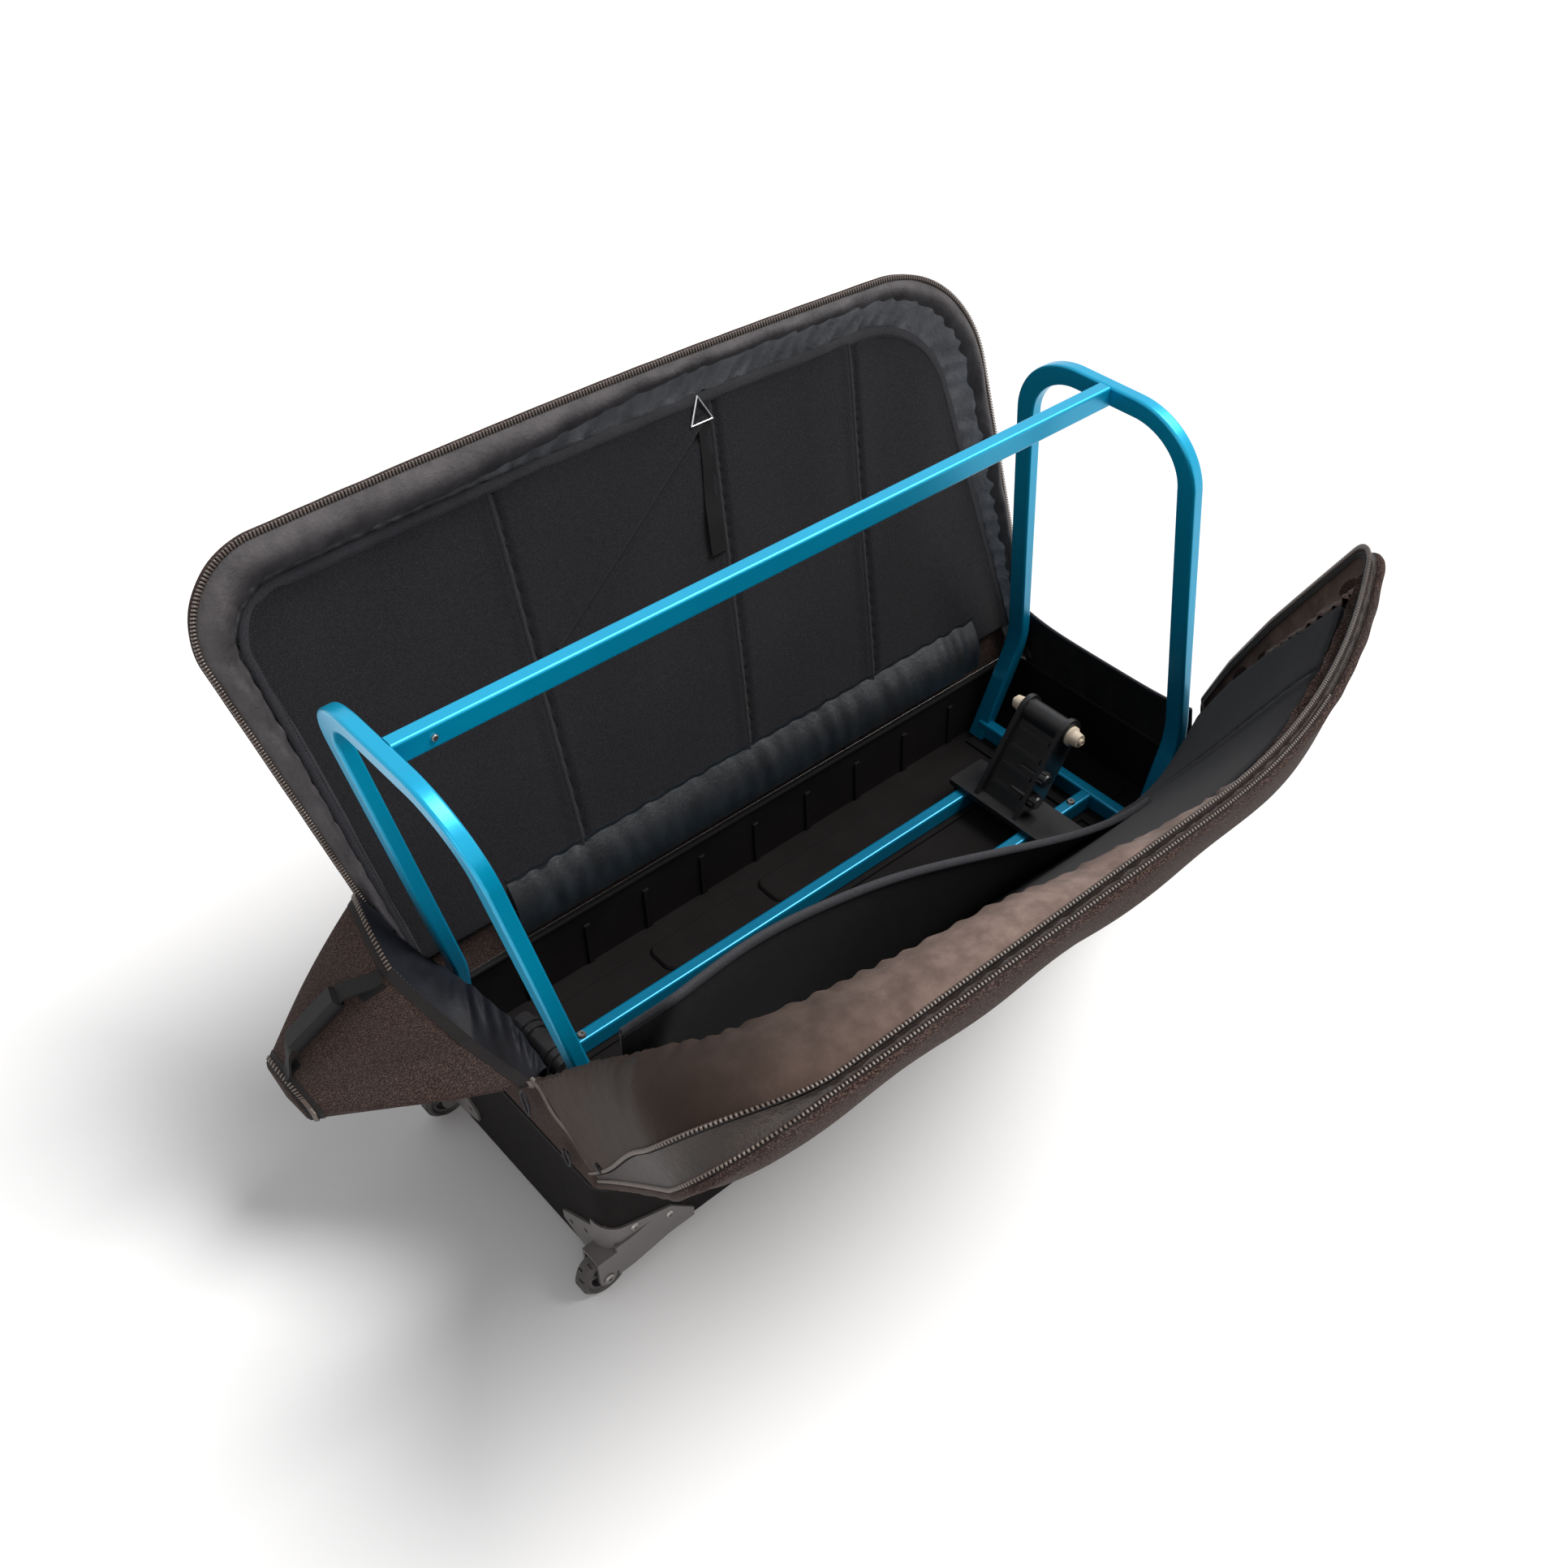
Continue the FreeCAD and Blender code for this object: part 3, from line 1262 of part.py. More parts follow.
def zip_run(up, depth):
    # a point on the middle of the zip band's nose edge
    slope = (panel_top_nose + panel_foot_half) / panel_height
    x = -panel_foot_half + slope * up + zip_width / 2.0 - zip_outset
    return V(x, up, depth + zip_height)


def slider_frame(side, lean_deg, depth):
    # the slider's middle on the zip, the way it runs and the way across it, in panel coordinates
    slope = (panel_top_nose + panel_foot_half) / panel_height
    run = V(slope, 1, 0).normalize()
    across = V(run.y, -run.x, 0)
    return panel_place(side, lean_deg), zip_run(slider_start, depth), run, across


def slider_pin(place, middle, across):
    # ends of the pin that the pull swings on
    reach = pull_width / 2.0 + pull_ear
    depth = V(0, 0, slide_gap + slider_roof + pull_thickness * pull_pin_share)
    return [place(middle + across * a + depth) for a in (-reach, reach)]


def slider_body(place, middle, run, across):
    half = zip_width / 2.0 + slide_gap
    out = half + slider_wall
    top = slide_gap + slider_roof
    profile = [(-out, -slider_lip), (-half, -slider_lip), (-half, slide_gap), (half, slide_gap),
               (half, -slider_lip), (out, -slider_lip), (out, top), (-out, top)]
    start = middle - run * (slider_length / 2.0)
    face = polygon([place(start + across * a + V(0, 0, d)) for a, d in profile])
    body = face.extrude(place(start + run * slider_length) - place(start))
    ears = []
    base = middle - run * pull_thickness
    tip = top + pull_thickness * 2.0
    for hand in (-1, 1):
        near = hand * (pull_width / 2.0 + slide_gap)
        far = near + hand * pull_ear
        plate = polygon([place(base + across * a + V(0, 0, d))
                         for a, d in ((near, top), (far, top), (far, tip), (near, tip))])
        ears.append(plate.extrude(place(base + run * (pull_thickness * 2.0)) - place(base)))
    low, high = slider_pin(place, middle, across)
    body = body.fuse(ears + [rod_between(low, high, pull_pin_radius)])
    return main_solid(body.removeSplitter())


def slider_pull(place, middle, run, across):
    # flat tab with a hole, hanging from a barrel round the pin
    wide = pull_width / 2.0
    top = slide_gap + slider_roof
    pin_depth = top + pull_thickness * pull_pin_share
    ends = [place(middle + across * a + V(0, 0, pin_depth)) for a in (-wide, wide)]
    barrel = rod_between(ends[0], ends[1], pull_pin_radius + pull_thickness * pull_barrel_share)
    start = middle - run * (pull_thickness * 0.5)
    half = pull_thickness * pull_tab_share
    corners = [start + across * wide, start - across * wide,
               start - across * wide - run * pull_length, start + across * wide - run * pull_length]
    tab = polygon([place(corner + V(0, 0, pin_depth - half)) for corner in corners])
    tab = tab.extrude(place(V(0, 0, half * 2.0)) - place(V(0, 0, 0)))
    hole = middle - run * (pull_length - pull_width)
    hole_ends = [place(hole + V(0, 0, depth)) for depth in (top - overrun, top + overrun * 2.0)]
    pull = barrel.fuse(tab).cut(rod_between(hole_ends[0], hole_ends[1], pull_width * pull_hole_share))
    low, high = slider_pin(place, middle, across)
    pull = pull.cut(rod_between(low, high, pull_pin_radius + running_gap))
    return main_solid(pull.removeSplitter())


def build_slider(side, lean_deg, depth, name):
    place, middle, run, across = slider_frame(side, lean_deg, depth)
    save(name + "_slider", slider_body(place, middle, run, across))
    save(name + "_pull", slider_pull(place, middle, run, across))


# Ends of the case

def leaning_sheet(base_x, lean_deg, outline, thickness):
    # flat sheet standing on the rim across the case and leaning towards -X by a negative angle
    lean = radians(lean_deg)
    base_z = tub_height + rim_thickness + soft_gap

    def place(y, up, depth):
        return V(base_x + up * sin(lean) + depth * cos(lean), y, base_z + up * cos(lean) - depth * sin(lean))
    face = polygon([place(y, up, 0) for y, up in outline])
    return face.extrude(place(0, 0, thickness) - place(0, 0, 0))


def inset_outline(outline, inset):
    # outline of a convex polygon moved inwards by inset
    count = len(outline)
    middle_y = sum(y for y, _ in outline) / count
    middle_z = sum(z for _, z in outline) / count
    lines = []
    for number in range(count):
        (y0, z0), (y1, z1) = outline[number], outline[(number + 1) % count]
        length = sqrt((y1 - y0) ** 2 + (z1 - z0) ** 2)
        normal = V((z0 - z1) / length, (y1 - y0) / length, 0)
        if normal.x * (middle_y - y0) + normal.y * (middle_z - z0) < 0:
            normal = -normal
        lines.append((normal, normal.x * y0 + normal.y * z0 + inset))
    moved = []
    for number in range(count):
        (n0, d0), (n1, d1) = lines[number - 1], lines[number]
        cross = n0.x * n1.y - n0.y * n1.x
        moved.append(((d0 * n1.y - d1 * n0.y) / cross, (n0.x * d1 - n1.x * d0) / cross))
    return moved


def flap_loop(base_x, outline):
    lean = radians(nose_lean_deg)
    points = [V(base_x + up * sin(lean), y, hinge_z + up * cos(lean)) for y, up in outline]
    return Part.makePolygon(points + points[:1])


def flap_shell():
    loops = [flap_loop(flap_root_x, flap_root_outline), flap_loop(flap_tip_x, flap_tip_outline)]
    outer = Part.makeLoft(loops, True, True)
    inner_root = inset_outline(flap_root_outline, flap_thickness)
    inner_tip = inset_outline(flap_tip_outline, flap_thickness)
    inner = Part.makeLoft([flap_loop(flap_root_x + overrun, inner_root),
                           flap_loop(flap_tip_x + flap_thickness, inner_tip)], True, True)
    return outer.cut(inner)


def handle_frame():
    # anchor points of the handle above the flap's ridge, and the directions along, up and across
    lean = radians(nose_lean_deg)
    ends = []
    for base_x, outline in ((flap_root_x, flap_root_outline), (flap_tip_x, flap_tip_outline)):
        y, up = outline[flap_ridge_point]
        ends.append(V(base_x + up * sin(lean), y, hinge_z + up * cos(lean)))
    along = (ends[1] - ends[0]).normalize()
    across = along.cross(V(0, 0, 1)).normalize()
    up = across.cross(along).normalize()
    reach = (ends[1] - ends[0]).Length
    start, end = [ends[0] + along * (reach * share) + up * handle_clear for share in handle_shares]
    return start, end, along, across, up


def build_flap():
    save("flap_shell", flap_shell())
    (front_y, low), lean = flap_root_outline[0], radians(nose_lean_deg)
    hem_low = tub_height + rim_thickness + soft_gap
    hem_high = hinge_z + low * cos(lean)
    save("flap_hem", box(flap_hem_outer_x, flap_hem_inner_x, front_y, flap_hem_back_y, hem_low, hem_high))
    start, end, along, across, up = handle_frame()
    length = (end - start).Length
    ramp = length * handle_ramp_share
    line = [V(0, 0, 0), V(ramp, handle_lift, 0), V(length - ramp, handle_lift, 0), V(length, 0, 0)]
    bow = [grip_radius * 2.0, grip_radius * 2.0]
    half = across * (handle_width / 2.0)
    face = strip_face(line, bow, handle_strap_thickness, lambda p: start + along * p.x + up * p.y - half)
    strap = face.extrude(across * handle_width)
    grip_start = start + along * (ramp * 1.6) + up * handle_lift
    grip_end = start + along * (length - ramp * 1.6) + up * handle_lift
    wide = handle_width / 2.0 + handle_strap_thickness
    grip = rod_between(grip_start, grip_end, wide).common(grip_block(grip_start, grip_end, across, up))
    save("handle_strap", strap.cut(grip))
    save("handle_grip", main_solid(grip))


def grip_block(start, end, across, up):
    # flattened bar that trims the grip to its thickness
    wide = handle_width + handle_strap_thickness
    corner = start - across * wide - up * grip_radius
    far = corner + across * (wide * 2.0)
    rise = up * (grip_radius * 2.0)
    points = [corner, far, far + rise, corner + rise]
    return polygon(points).extrude(end - start)


def build_base():
    save("base_tub", base_tub())
    save("belly_pan", belly_pan())
    save("rim_binding", rim_binding())
    sides = ("back", "front")
    for side, shape in zip(sides, nose_pair(wheel_bracket())):
        save("wheel_bracket_" + side, shape)
    for side, shape in zip(sides, nose_pair(wheel_hub())):
        save("wheel_hub_" + side, shape)
    for side, shape in zip(sides, nose_pair(tyre())):
        save("tyre_" + side, shape)
    for side, shape in zip(sides, tail_pair(tail_foot())):
        save("tail_foot_" + side, shape)
    bolts = [corner for x, z in bracket_bolt_places for corner in nose_pair(bracket_bolt(x, z))]
    save("bracket_bolts", group(bolts))
    save("axle_bolts", group(nose_pair(axle_bolt())))
    skids = [belly_skid(x0, x1) for x0, x1 in skid_spans]
    save("belly_skids_back", group(skids))
    save("belly_skids_front", group([mirror_y(skid) for skid in skids]))


def build_all():
    build_base()
    build_frame()
    build_rear_stand()
    build_fork_stand()
    build_back_panel()
    build_front_panel()
    build_slider(1, back_lean_deg, back_border_depth, "back_zip")
    build_slider(-1, front_lean_deg, front_border_depth, "front_zip")
    save("nose_skirt", leaning_sheet(skirt_base_x, nose_lean_deg, skirt_outline, skirt_thickness))
    save("nose_lining", leaning_sheet(lining_base_x, nose_lean_deg, lining_outline, lining_thickness))
    save("tail_wall", leaning_sheet(tail_wall_x, tail_lean_deg, tail_wall_outline, tail_wall_thickness))
    build_flap()


build_all()
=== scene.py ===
import bpy
import json
import math
import numpy as np
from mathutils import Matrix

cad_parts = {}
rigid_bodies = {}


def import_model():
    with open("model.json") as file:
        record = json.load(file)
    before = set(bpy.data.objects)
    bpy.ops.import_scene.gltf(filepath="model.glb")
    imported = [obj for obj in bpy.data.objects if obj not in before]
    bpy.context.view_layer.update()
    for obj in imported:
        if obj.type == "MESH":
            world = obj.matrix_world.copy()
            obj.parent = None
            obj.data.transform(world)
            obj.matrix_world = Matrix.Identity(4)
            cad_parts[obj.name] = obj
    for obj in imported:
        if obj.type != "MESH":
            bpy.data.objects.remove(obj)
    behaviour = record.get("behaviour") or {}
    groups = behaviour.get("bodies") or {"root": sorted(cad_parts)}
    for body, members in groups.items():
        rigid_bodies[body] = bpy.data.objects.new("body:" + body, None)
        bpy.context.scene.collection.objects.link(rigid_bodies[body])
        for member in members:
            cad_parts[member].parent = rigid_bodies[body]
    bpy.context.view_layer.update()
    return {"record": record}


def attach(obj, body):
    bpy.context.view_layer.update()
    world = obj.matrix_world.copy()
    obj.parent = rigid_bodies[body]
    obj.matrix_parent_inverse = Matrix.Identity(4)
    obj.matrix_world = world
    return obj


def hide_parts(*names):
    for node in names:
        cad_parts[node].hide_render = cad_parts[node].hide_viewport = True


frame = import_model()
mm = 0.001
print("frame loaded")


# shader sockets that can be added and multiplied in Python
class Wire:
    def __init__(self, finish, socket):
        self.finish, self.socket = finish, socket

    def maths(self, operation, first, second):
        return self.finish.node("ShaderNodeMath", {"operation": operation}, (first, second))

    def __add__(self, other):
        return self.maths("ADD", self, other)

    def __sub__(self, other):
        return self.maths("SUBTRACT", self, other)

    def __rsub__(self, other):
        return self.maths("SUBTRACT", other, self)

    def __mul__(self, other):
        return self.maths("MULTIPLY", self, other)

    __radd__, __rmul__ = __add__, __mul__


class Finish:
    def __init__(self, name, **fixed):
        self.material = bpy.data.materials.new(name)
        self.material.use_nodes = True
        self.tree = self.material.node_tree
        self.tree.nodes.clear()
        self.shader = self.tree.nodes.new("ShaderNodeBsdfPrincipled")
        end = self.tree.nodes.new("ShaderNodeOutputMaterial")
        self.tree.links.new(self.shader.outputs[0], end.inputs[0])
        for key, value in fixed.items():
            self.shader.inputs[key.replace("_", " ")].default_value = value
        self.place = self.node("ShaderNodeTexCoord", output="Object")

    def node(self, kind, settings=None, inputs=(), output=0):
        made = self.tree.nodes.new(kind)
        for key, value in (settings or {}).items():
            setattr(made, key, value)
        for key, value in inputs.items() if hasattr(inputs, "items") else enumerate(inputs):
            self.put(made.inputs[key], value)
        return Wire(self, made.outputs[output])

    def put(self, socket, value):
        if isinstance(value, Wire):
            self.tree.links.new(value.socket, socket)
        else:
            socket.default_value = value

    def feed(self, **values):
        for key, value in values.items():
            self.put(self.shader.inputs[key.replace("_", " ")], value)

    def turned(self, scale, turn=(0.0, 0.0, 0.0), place=None):
        return self.node("ShaderNodeMapping", None, {"Vector": place or self.place, "Rotation": turn, "Scale": scale})

    def noise(self, scale, detail=3.0, vector=None, rough=0.55):
        return self.node("ShaderNodeTexNoise", None,
                         {"Vector": vector or self.place, "Scale": scale, "Detail": detail, "Roughness": rough})

    def step(self, value, low, high):
        return self.node("ShaderNodeMapRange", {"interpolation_type": "SMOOTHSTEP"},
                         {"Value": value, "From Min": low, "From Max": high})

    def mix(self, factor, first, second):
        return self.node("ShaderNodeMix", {"data_type": "RGBA"}, {0: factor, 6: first, 7: second}, output=2)

    def bump(self, height, strength, distance):
        self.feed(Normal=self.node("ShaderNodeBump", None,
                                   {"Height": height, "Strength": strength, "Distance": distance}))


def rgba(colour, by=1.0, more=0.0):
    return (*(by * c + more for c in colour), 1.0)


# finishes
def heatherCloth():  # outer fabric, dark threads flecked with pale ones
    look = {"dark": (0.017, 0.0088, 0.007), "pale": (0.135, 0.09, 0.076), "worn": (0.046, 0.041, 0.041),
            "threads": 1500.0, "flecks": 470.0, "clouds": 9.0}
    cloth = Finish("heatherCloth", Sheen_Weight=0.03, Sheen_Roughness=0.5, Specular_IOR_Level=0.12)
    slant = cloth.turned((look["flecks"], look["flecks"], look["flecks"] * 3.0), (0.5, 0.75, 0.3))
    fleck = cloth.step(cloth.noise(1.0, 3.0, slant, 0.6), 0.43, 0.68)
    thread = cloth.noise(look["threads"], 2.0)
    cloud = cloth.noise(look["clouds"], 3.0)
    shade = cloth.mix(fleck * (0.55 + 0.5 * thread), rgba(look["dark"]), rgba(look["pale"]))
    # worn grey clouds: mottled wear, made paler to stand in for the grazing sheen, so partly painted sheen
    cloth.feed(Base_Color=cloth.mix(cloth.step(cloud, 0.35, 0.75) * 0.35, shade, rgba(look["worn"])),
               Roughness=0.78 + 0.15 * thread)
    cloth.bump(thread * 0.5 + fleck * 0.6, 0.5, 0.0006)
    return cloth.material


def satinNylon(name, colour, gleam, crinkle, shine=0.6, shadeRamp=None, tint=(1.0, 1.0, 1.0)):  # thin, soft or crushed
    look = {"weave": 1400.0, "crease": 38.0, "crush": 150.0, "dark": 0.72, "pale": 1.25, "paintedShade": 0.1}
    cloth = Finish(name, Specular_IOR_Level=shine, Specular_Tint=rgba(tint))
    weave = cloth.noise(look["weave"], 1.0)
    crease = cloth.noise(look["crease"], 4.0, cloth.turned((1.0, 1.0, 0.45)), 0.6)
    crush = cloth.noise(look["crush"], 5.0, None, 0.7)
    tone = cloth.mix(cloth.step(crease, 0.3, 0.75), rgba(colour, look["dark"]), rgba(colour, look["pale"]))
    if shadeRamp:  # painted shade: darker towards the nose
        # painted shade: the colour falls to a tenth of itself over this ramp along x
        along = cloth.step(cloth.node("ShaderNodeSeparateXYZ", None, (cloth.place,), 0), *shadeRamp)
        tone = cloth.mix(along, rgba(colour, look["paintedShade"]), tone)
    cloth.feed(Base_Color=tone, Roughness=gleam + 0.16 * crush - 0.08 * weave)
    cloth.bump(crease * (1.0 - 0.5 * crinkle) + crush * crinkle + weave * 0.12, 0.35 + 0.4 * crinkle, 0.004)
    return cloth.material


def padFelt():
    look = {"base": (0.0095, 0.0095, 0.0115), "fluff": (0.034, 0.033, 0.037), "worn": (0.017, 0.0145, 0.015),
            "hairs": 700.0, "patches": 14.0}
    felt = Finish("padFelt", Sheen_Weight=0.06, Sheen_Roughness=0.55, Specular_IOR_Level=0.1)
    hair = felt.noise(look["hairs"], 4.0, None, 0.7)
    patch = felt.noise(look["patches"], 3.0)
    tone = felt.mix(felt.step(hair, 0.4, 0.72), rgba(look["base"]), rgba(look["fluff"]))
    felt.feed(Base_Color=felt.mix(felt.step(patch, 0.4, 0.8) * 0.3, tone, rgba(look["worn"])),
              Roughness=0.88 + 0.1 * hair)
    felt.bump(hair, 0.6, 0.0012)
    return felt.material


def ribbedTape(name, colour, ribs):  # bound edges, webbing and zip tape
    look = {"fine": 1200.0, "dark": 0.7, "pale": 1.35}
    tape = Finish(name, Sheen_Weight=0.02, Specular_IOR_Level=0.2)
    weave = tape.noise(ribs, 1.0, tape.turned((1.0, 1.0, 1.0), (0.6, 0.4, 0.78)))
    fine = tape.noise(look["fine"], 2.0)
    tone = tape.mix(tape.step(weave, 0.35, 0.65), rgba(colour, look["dark"]), rgba(colour, look["pale"]))
    tape.feed(Base_Color=tone, Roughness=0.62 + 0.2 * fine)
    tape.bump(weave + fine * 0.4, 0.5, 0.0008)
    return tape.material


def mouldedPlastic(name, colour, rough, grain, shine=0.45):
    look = {"pits": 520.0, "smears": 16.0, "scuffs": 60.0}
    part = Finish(name, Specular_IOR_Level=shine)
    pits = part.noise(look["pits"], 3.0)
    smear = part.noise(look["smears"], 4.0)
    scuff = part.step(part.noise(look["scuffs"], 6.0, None, 0.75), 0.62, 0.8)
    tone = part.mix(part.step(smear, 0.3, 0.8) * 0.5, rgba(colour), rgba(colour, 1.3, 0.004))
    part.feed(Base_Color=part.mix(scuff * 0.25, tone, rgba(colour, 1.9, 0.01)),
              Roughness=rough + 0.12 * smear - 0.05 * pits + 0.08 * scuff)
    part.bump(pits, grain, 0.0006)
    return part.material


def tintedTube():  # blue anodised tube, drawn along its length, with painted shade making it darker low down
    look = {"deep": (0.0, 0.3, 0.53), "bright": (0.0, 0.45, 0.73), "low": (0.0, 0.1, 0.21), "shadeRamp": (0.2, 0.62),
            "drawn": (14.0, 420.0, 420.0), "clouds": 7.0}
    tube = Finish("tintedTube", Metallic=0.4, Coat_Weight=0.08, Coat_Roughness=0.15)
    # painted shade: the tube's colour sinks to the low tone towards the bottom of the case
    high = tube.step(tube.node("ShaderNodeSeparateXYZ", None, (tube.place,), 2), *look["shadeRamp"])
    drawn = tube.noise(1.0, 4.0, tube.turned(look["drawn"]), 0.6)
    cloud = tube.noise(look["clouds"], 2.0)
    tone = tube.mix(0.35 * drawn + 0.65 * cloud, rgba(look["deep"]), rgba(look["bright"]))
    tube.feed(Base_Color=tube.mix(0.4 + 0.6 * high, rgba(look["low"]), tone),
              Roughness=0.24 + 0.14 * drawn)
    tube.bump(drawn, 0.06, 0.0004)
    return tube.material


def bareMetal(name, colour, rough):
    look = {"brush": (40.0, 600.0, 600.0), "wear": 90.0}
    metal = Finish(name, Metallic=1.0)
    brush = metal.noise(1.0, 3.0, metal.turned(look["brush"]))
    wear = metal.noise(look["wear"], 4.0)
    metal.feed(Base_Color=metal.mix(wear * 0.5, rgba(colour), rgba(colour, 0.6)),
               Roughness=rough + 0.15 * brush)
    metal.bump(brush, 0.08, 0.0003)
    return metal.material


def tyreRubber():
    look = {"rubber": (0.05, 0.043, 0.042), "dusty": (0.11, 0.1, 0.096), "dust": 45.0, "grain": 700.0}
    tyre = Finish("tyreRubber", Specular_IOR_Level=0.4)
    dust = tyre.step(tyre.noise(look["dust"], 5.0, None, 0.7), 0.5, 0.85)
    grain = tyre.noise(look["grain"], 2.0)
    tyre.feed(Base_Color=tyre.mix(dust * 0.5, rgba(look["rubber"]), rgba(look["dusty"])),
              Roughness=0.55 + 0.25 * dust)
    tyre.bump(grain, 0.25, 0.0005)
    return tyre.material


finishes = {
    "shell": heatherCloth(),
    # brown nylon: its pale base tone is painted sheen, and painted shade darkens it towards the nose
    "borderFront": satinNylon("brownNylon", (0.2, 0.145, 0.125), 0.5, 0.15, 0.12, (-0.7, -0.24), (1.0, 0.62, 0.45)),
    "band": satinNylon("bandNylon", (0.024, 0.016, 0.013), 0.42, 0.9, 0.4),
    "borderBack": satinNylon("slateNylon", (0.062, 0.056, 0.059), 0.46, 0.75, 0.3),
    "lining": satinNylon("crushedNylon", (0.15, 0.155, 0.17), 0.42, 0.9),
    "navy": satinNylon("navyNylon", (0.0075, 0.008, 0.0115), 0.55, 0.25, 0.2),
    "pocket": satinNylon("pocketNylon", (0.02, 0.022, 0.025), 0.32, 0.3),
    "wall": satinNylon("endWallNylon", (0.012, 0.0105, 0.0105), 0.55, 0.25, 0.2),
    "felt": padFelt(),
    "binding": ribbedTape("bindingTape", (0.032, 0.032, 0.037), 900.0),
    "webbing": ribbedTape("strapWebbing", (0.005, 0.0044, 0.0044), 700.0),
    "zipTape": ribbedTape("zipTape", (0.013, 0.011, 0.011), 1100.0),
    "coil": mouldedPlastic("zipCoil", (0.085, 0.062, 0.05), 0.26, 0.1, 0.8),
    "thread": ribbedTape("sewingThread", (0.03, 0.026, 0.026), 1500.0),
    "tub": mouldedPlastic("tubPlastic", (0.006, 0.005, 0.0048), 0.7, 0.5, 0.1),
    "foot": mouldedPlastic("skidPlastic", (0.05, 0.053, 0.06), 0.5, 0.25),
    "bracket": mouldedPlastic("bracketPaint", (0.13, 0.118, 0.116), 0.4, 0.15),
    "stand": mouldedPlastic("standPlastic", (0.012, 0.0115, 0.0125), 0.3, 0.12),
    "cone": mouldedPlastic("conePlastic", (0.62, 0.52, 0.4), 0.38, 0.1),
    "wheel": mouldedPlastic("hubPlastic", (0.06, 0.056, 0.056), 0.38, 0.15),
    "grip": mouldedPlastic("gripRubber", (0.006, 0.0055, 0.0058), 0.5, 0.2, 0.2),
    "tyre": tyreRubber(),
    "frame": tintedTube(),
    "bolt": bareMetal("boltSteel", (0.3, 0.29, 0.28), 0.35),
    "hook": bareMetal("hookSteel", (0.72, 0.72, 0.72), 0.2),
    "slider": bareMetal("sliderMetal", (0.05, 0.048, 0.048), 0.35),
}
print("finishes made", len(finishes))

slotFinish = {"border": "borderFront", "zip": "zipTape"}
for row in frame["record"]["subparts"]:
    slot = row["material_slot"]
    node = bpy.data.objects[row["node"]]
    node.data.materials.clear()
    node.data.materials.append(finishes[slotFinish.get(slot, slot)])
print("carried-over nodes dressed")


# modelling helpers, in millimetres
def deselect():
    if bpy.context.object and bpy.context.object.mode != "OBJECT":
        bpy.ops.object.mode_set(mode="OBJECT")
    bpy.ops.object.select_all(action="DESELECT")


def choose(piece):
    deselect()
    piece.select_set(True)
    bpy.context.view_layer.objects.active = piece


def tidyMesh(piece, angle=50.0):
    choose(piece)
    bpy.ops.object.mode_set(mode="EDIT")
    bpy.ops.mesh.select_all(action="SELECT")
    bpy.ops.mesh.remove_doubles(threshold=0.00002)
    bpy.ops.mesh.normals_make_consistent(inside=False)
    bpy.ops.object.mode_set(mode="OBJECT")
    bpy.ops.object.shade_smooth_by_angle(angle=math.radians(angle))
    return piece


def applied(piece, kind, **settings):
    choose(piece)
    change = piece.modifiers.new(kind.lower(), kind)
    for key, value in settings.items():
        setattr(change, key, value)
    bpy.ops.object.modifier_apply(modifier=change.name)
    return piece


def sewn(name, across, along, form, thickness=0.0, offset=0.0):  # a grid whose points are moved to the cloth's form
    deselect()
    bpy.ops.mesh.primitive_grid_add(x_subdivisions=across, y_subdivisions=along, size=1.0)
    piece = bpy.context.object
    piece.name = piece.data.name = name
    flat = np.empty(len(piece.data.vertices) * 3)
    piece.data.vertices.foreach_get("co", flat)
    flat = flat.reshape(-1, 3) + 0.5
    placed = np.stack(np.broadcast_arrays(*form(flat[:, 0], flat[:, 1])), axis=1)
    piece.data.vertices.foreach_set("co", (placed * mm).ravel())
    piece.data.update()
    if thickness:
        applied(piece, "SOLIDIFY", thickness=thickness * mm, offset=offset)
    return tidyMesh(piece)


def copied(name, size, bevel, spots, axes):  # one small block at many spots, each turned to its own three axes
    pattern = smallBlock(size, bevel)
    mesh = pattern.data
    points = np.empty(len(mesh.vertices) * 3)
    mesh.vertices.foreach_get("co", points)
    points = points.reshape(-1, 3)
    faces = [list(p.vertices) for p in mesh.polygons]
    placed, joined = [], []
    for spot, (along, across, up) in zip(spots, axes):
        turned = points[:, :1] * along + points[:, 1:2] * across + points[:, 2:] * up
        joined += [[v + len(placed) * len(points) for v in face] for face in faces]
        placed.append(turned + spot * mm)
    made = bpy.data.meshes.new(name)
    made.from_pydata(np.concatenate(placed).tolist(), [], joined)
    piece = bpy.data.objects.new(name, made)
    bpy.context.scene.collection.objects.link(piece)
    bpy.data.objects.remove(pattern)
    return tidyMesh(piece, 40.0)


def smallBlock(size, bevel):  # bevelled block, the pattern for zip teeth and stitches
    deselect()
    bpy.ops.mesh.primitive_cube_add(size=1.0)
    block = bpy.context.object
    bpy.ops.transform.resize(value=tuple(s * mm for s in size))
    bpy.ops.object.transform_apply(location=False, rotation=False, scale=True)
    bpy.ops.object.mode_set(mode="EDIT")
    bpy.ops.mesh.select_all(action="SELECT")
    bpy.ops.mesh.bevel(offset=bevel * mm, segments=1)
    bpy.ops.object.mode_set(mode="OBJECT")
    return block


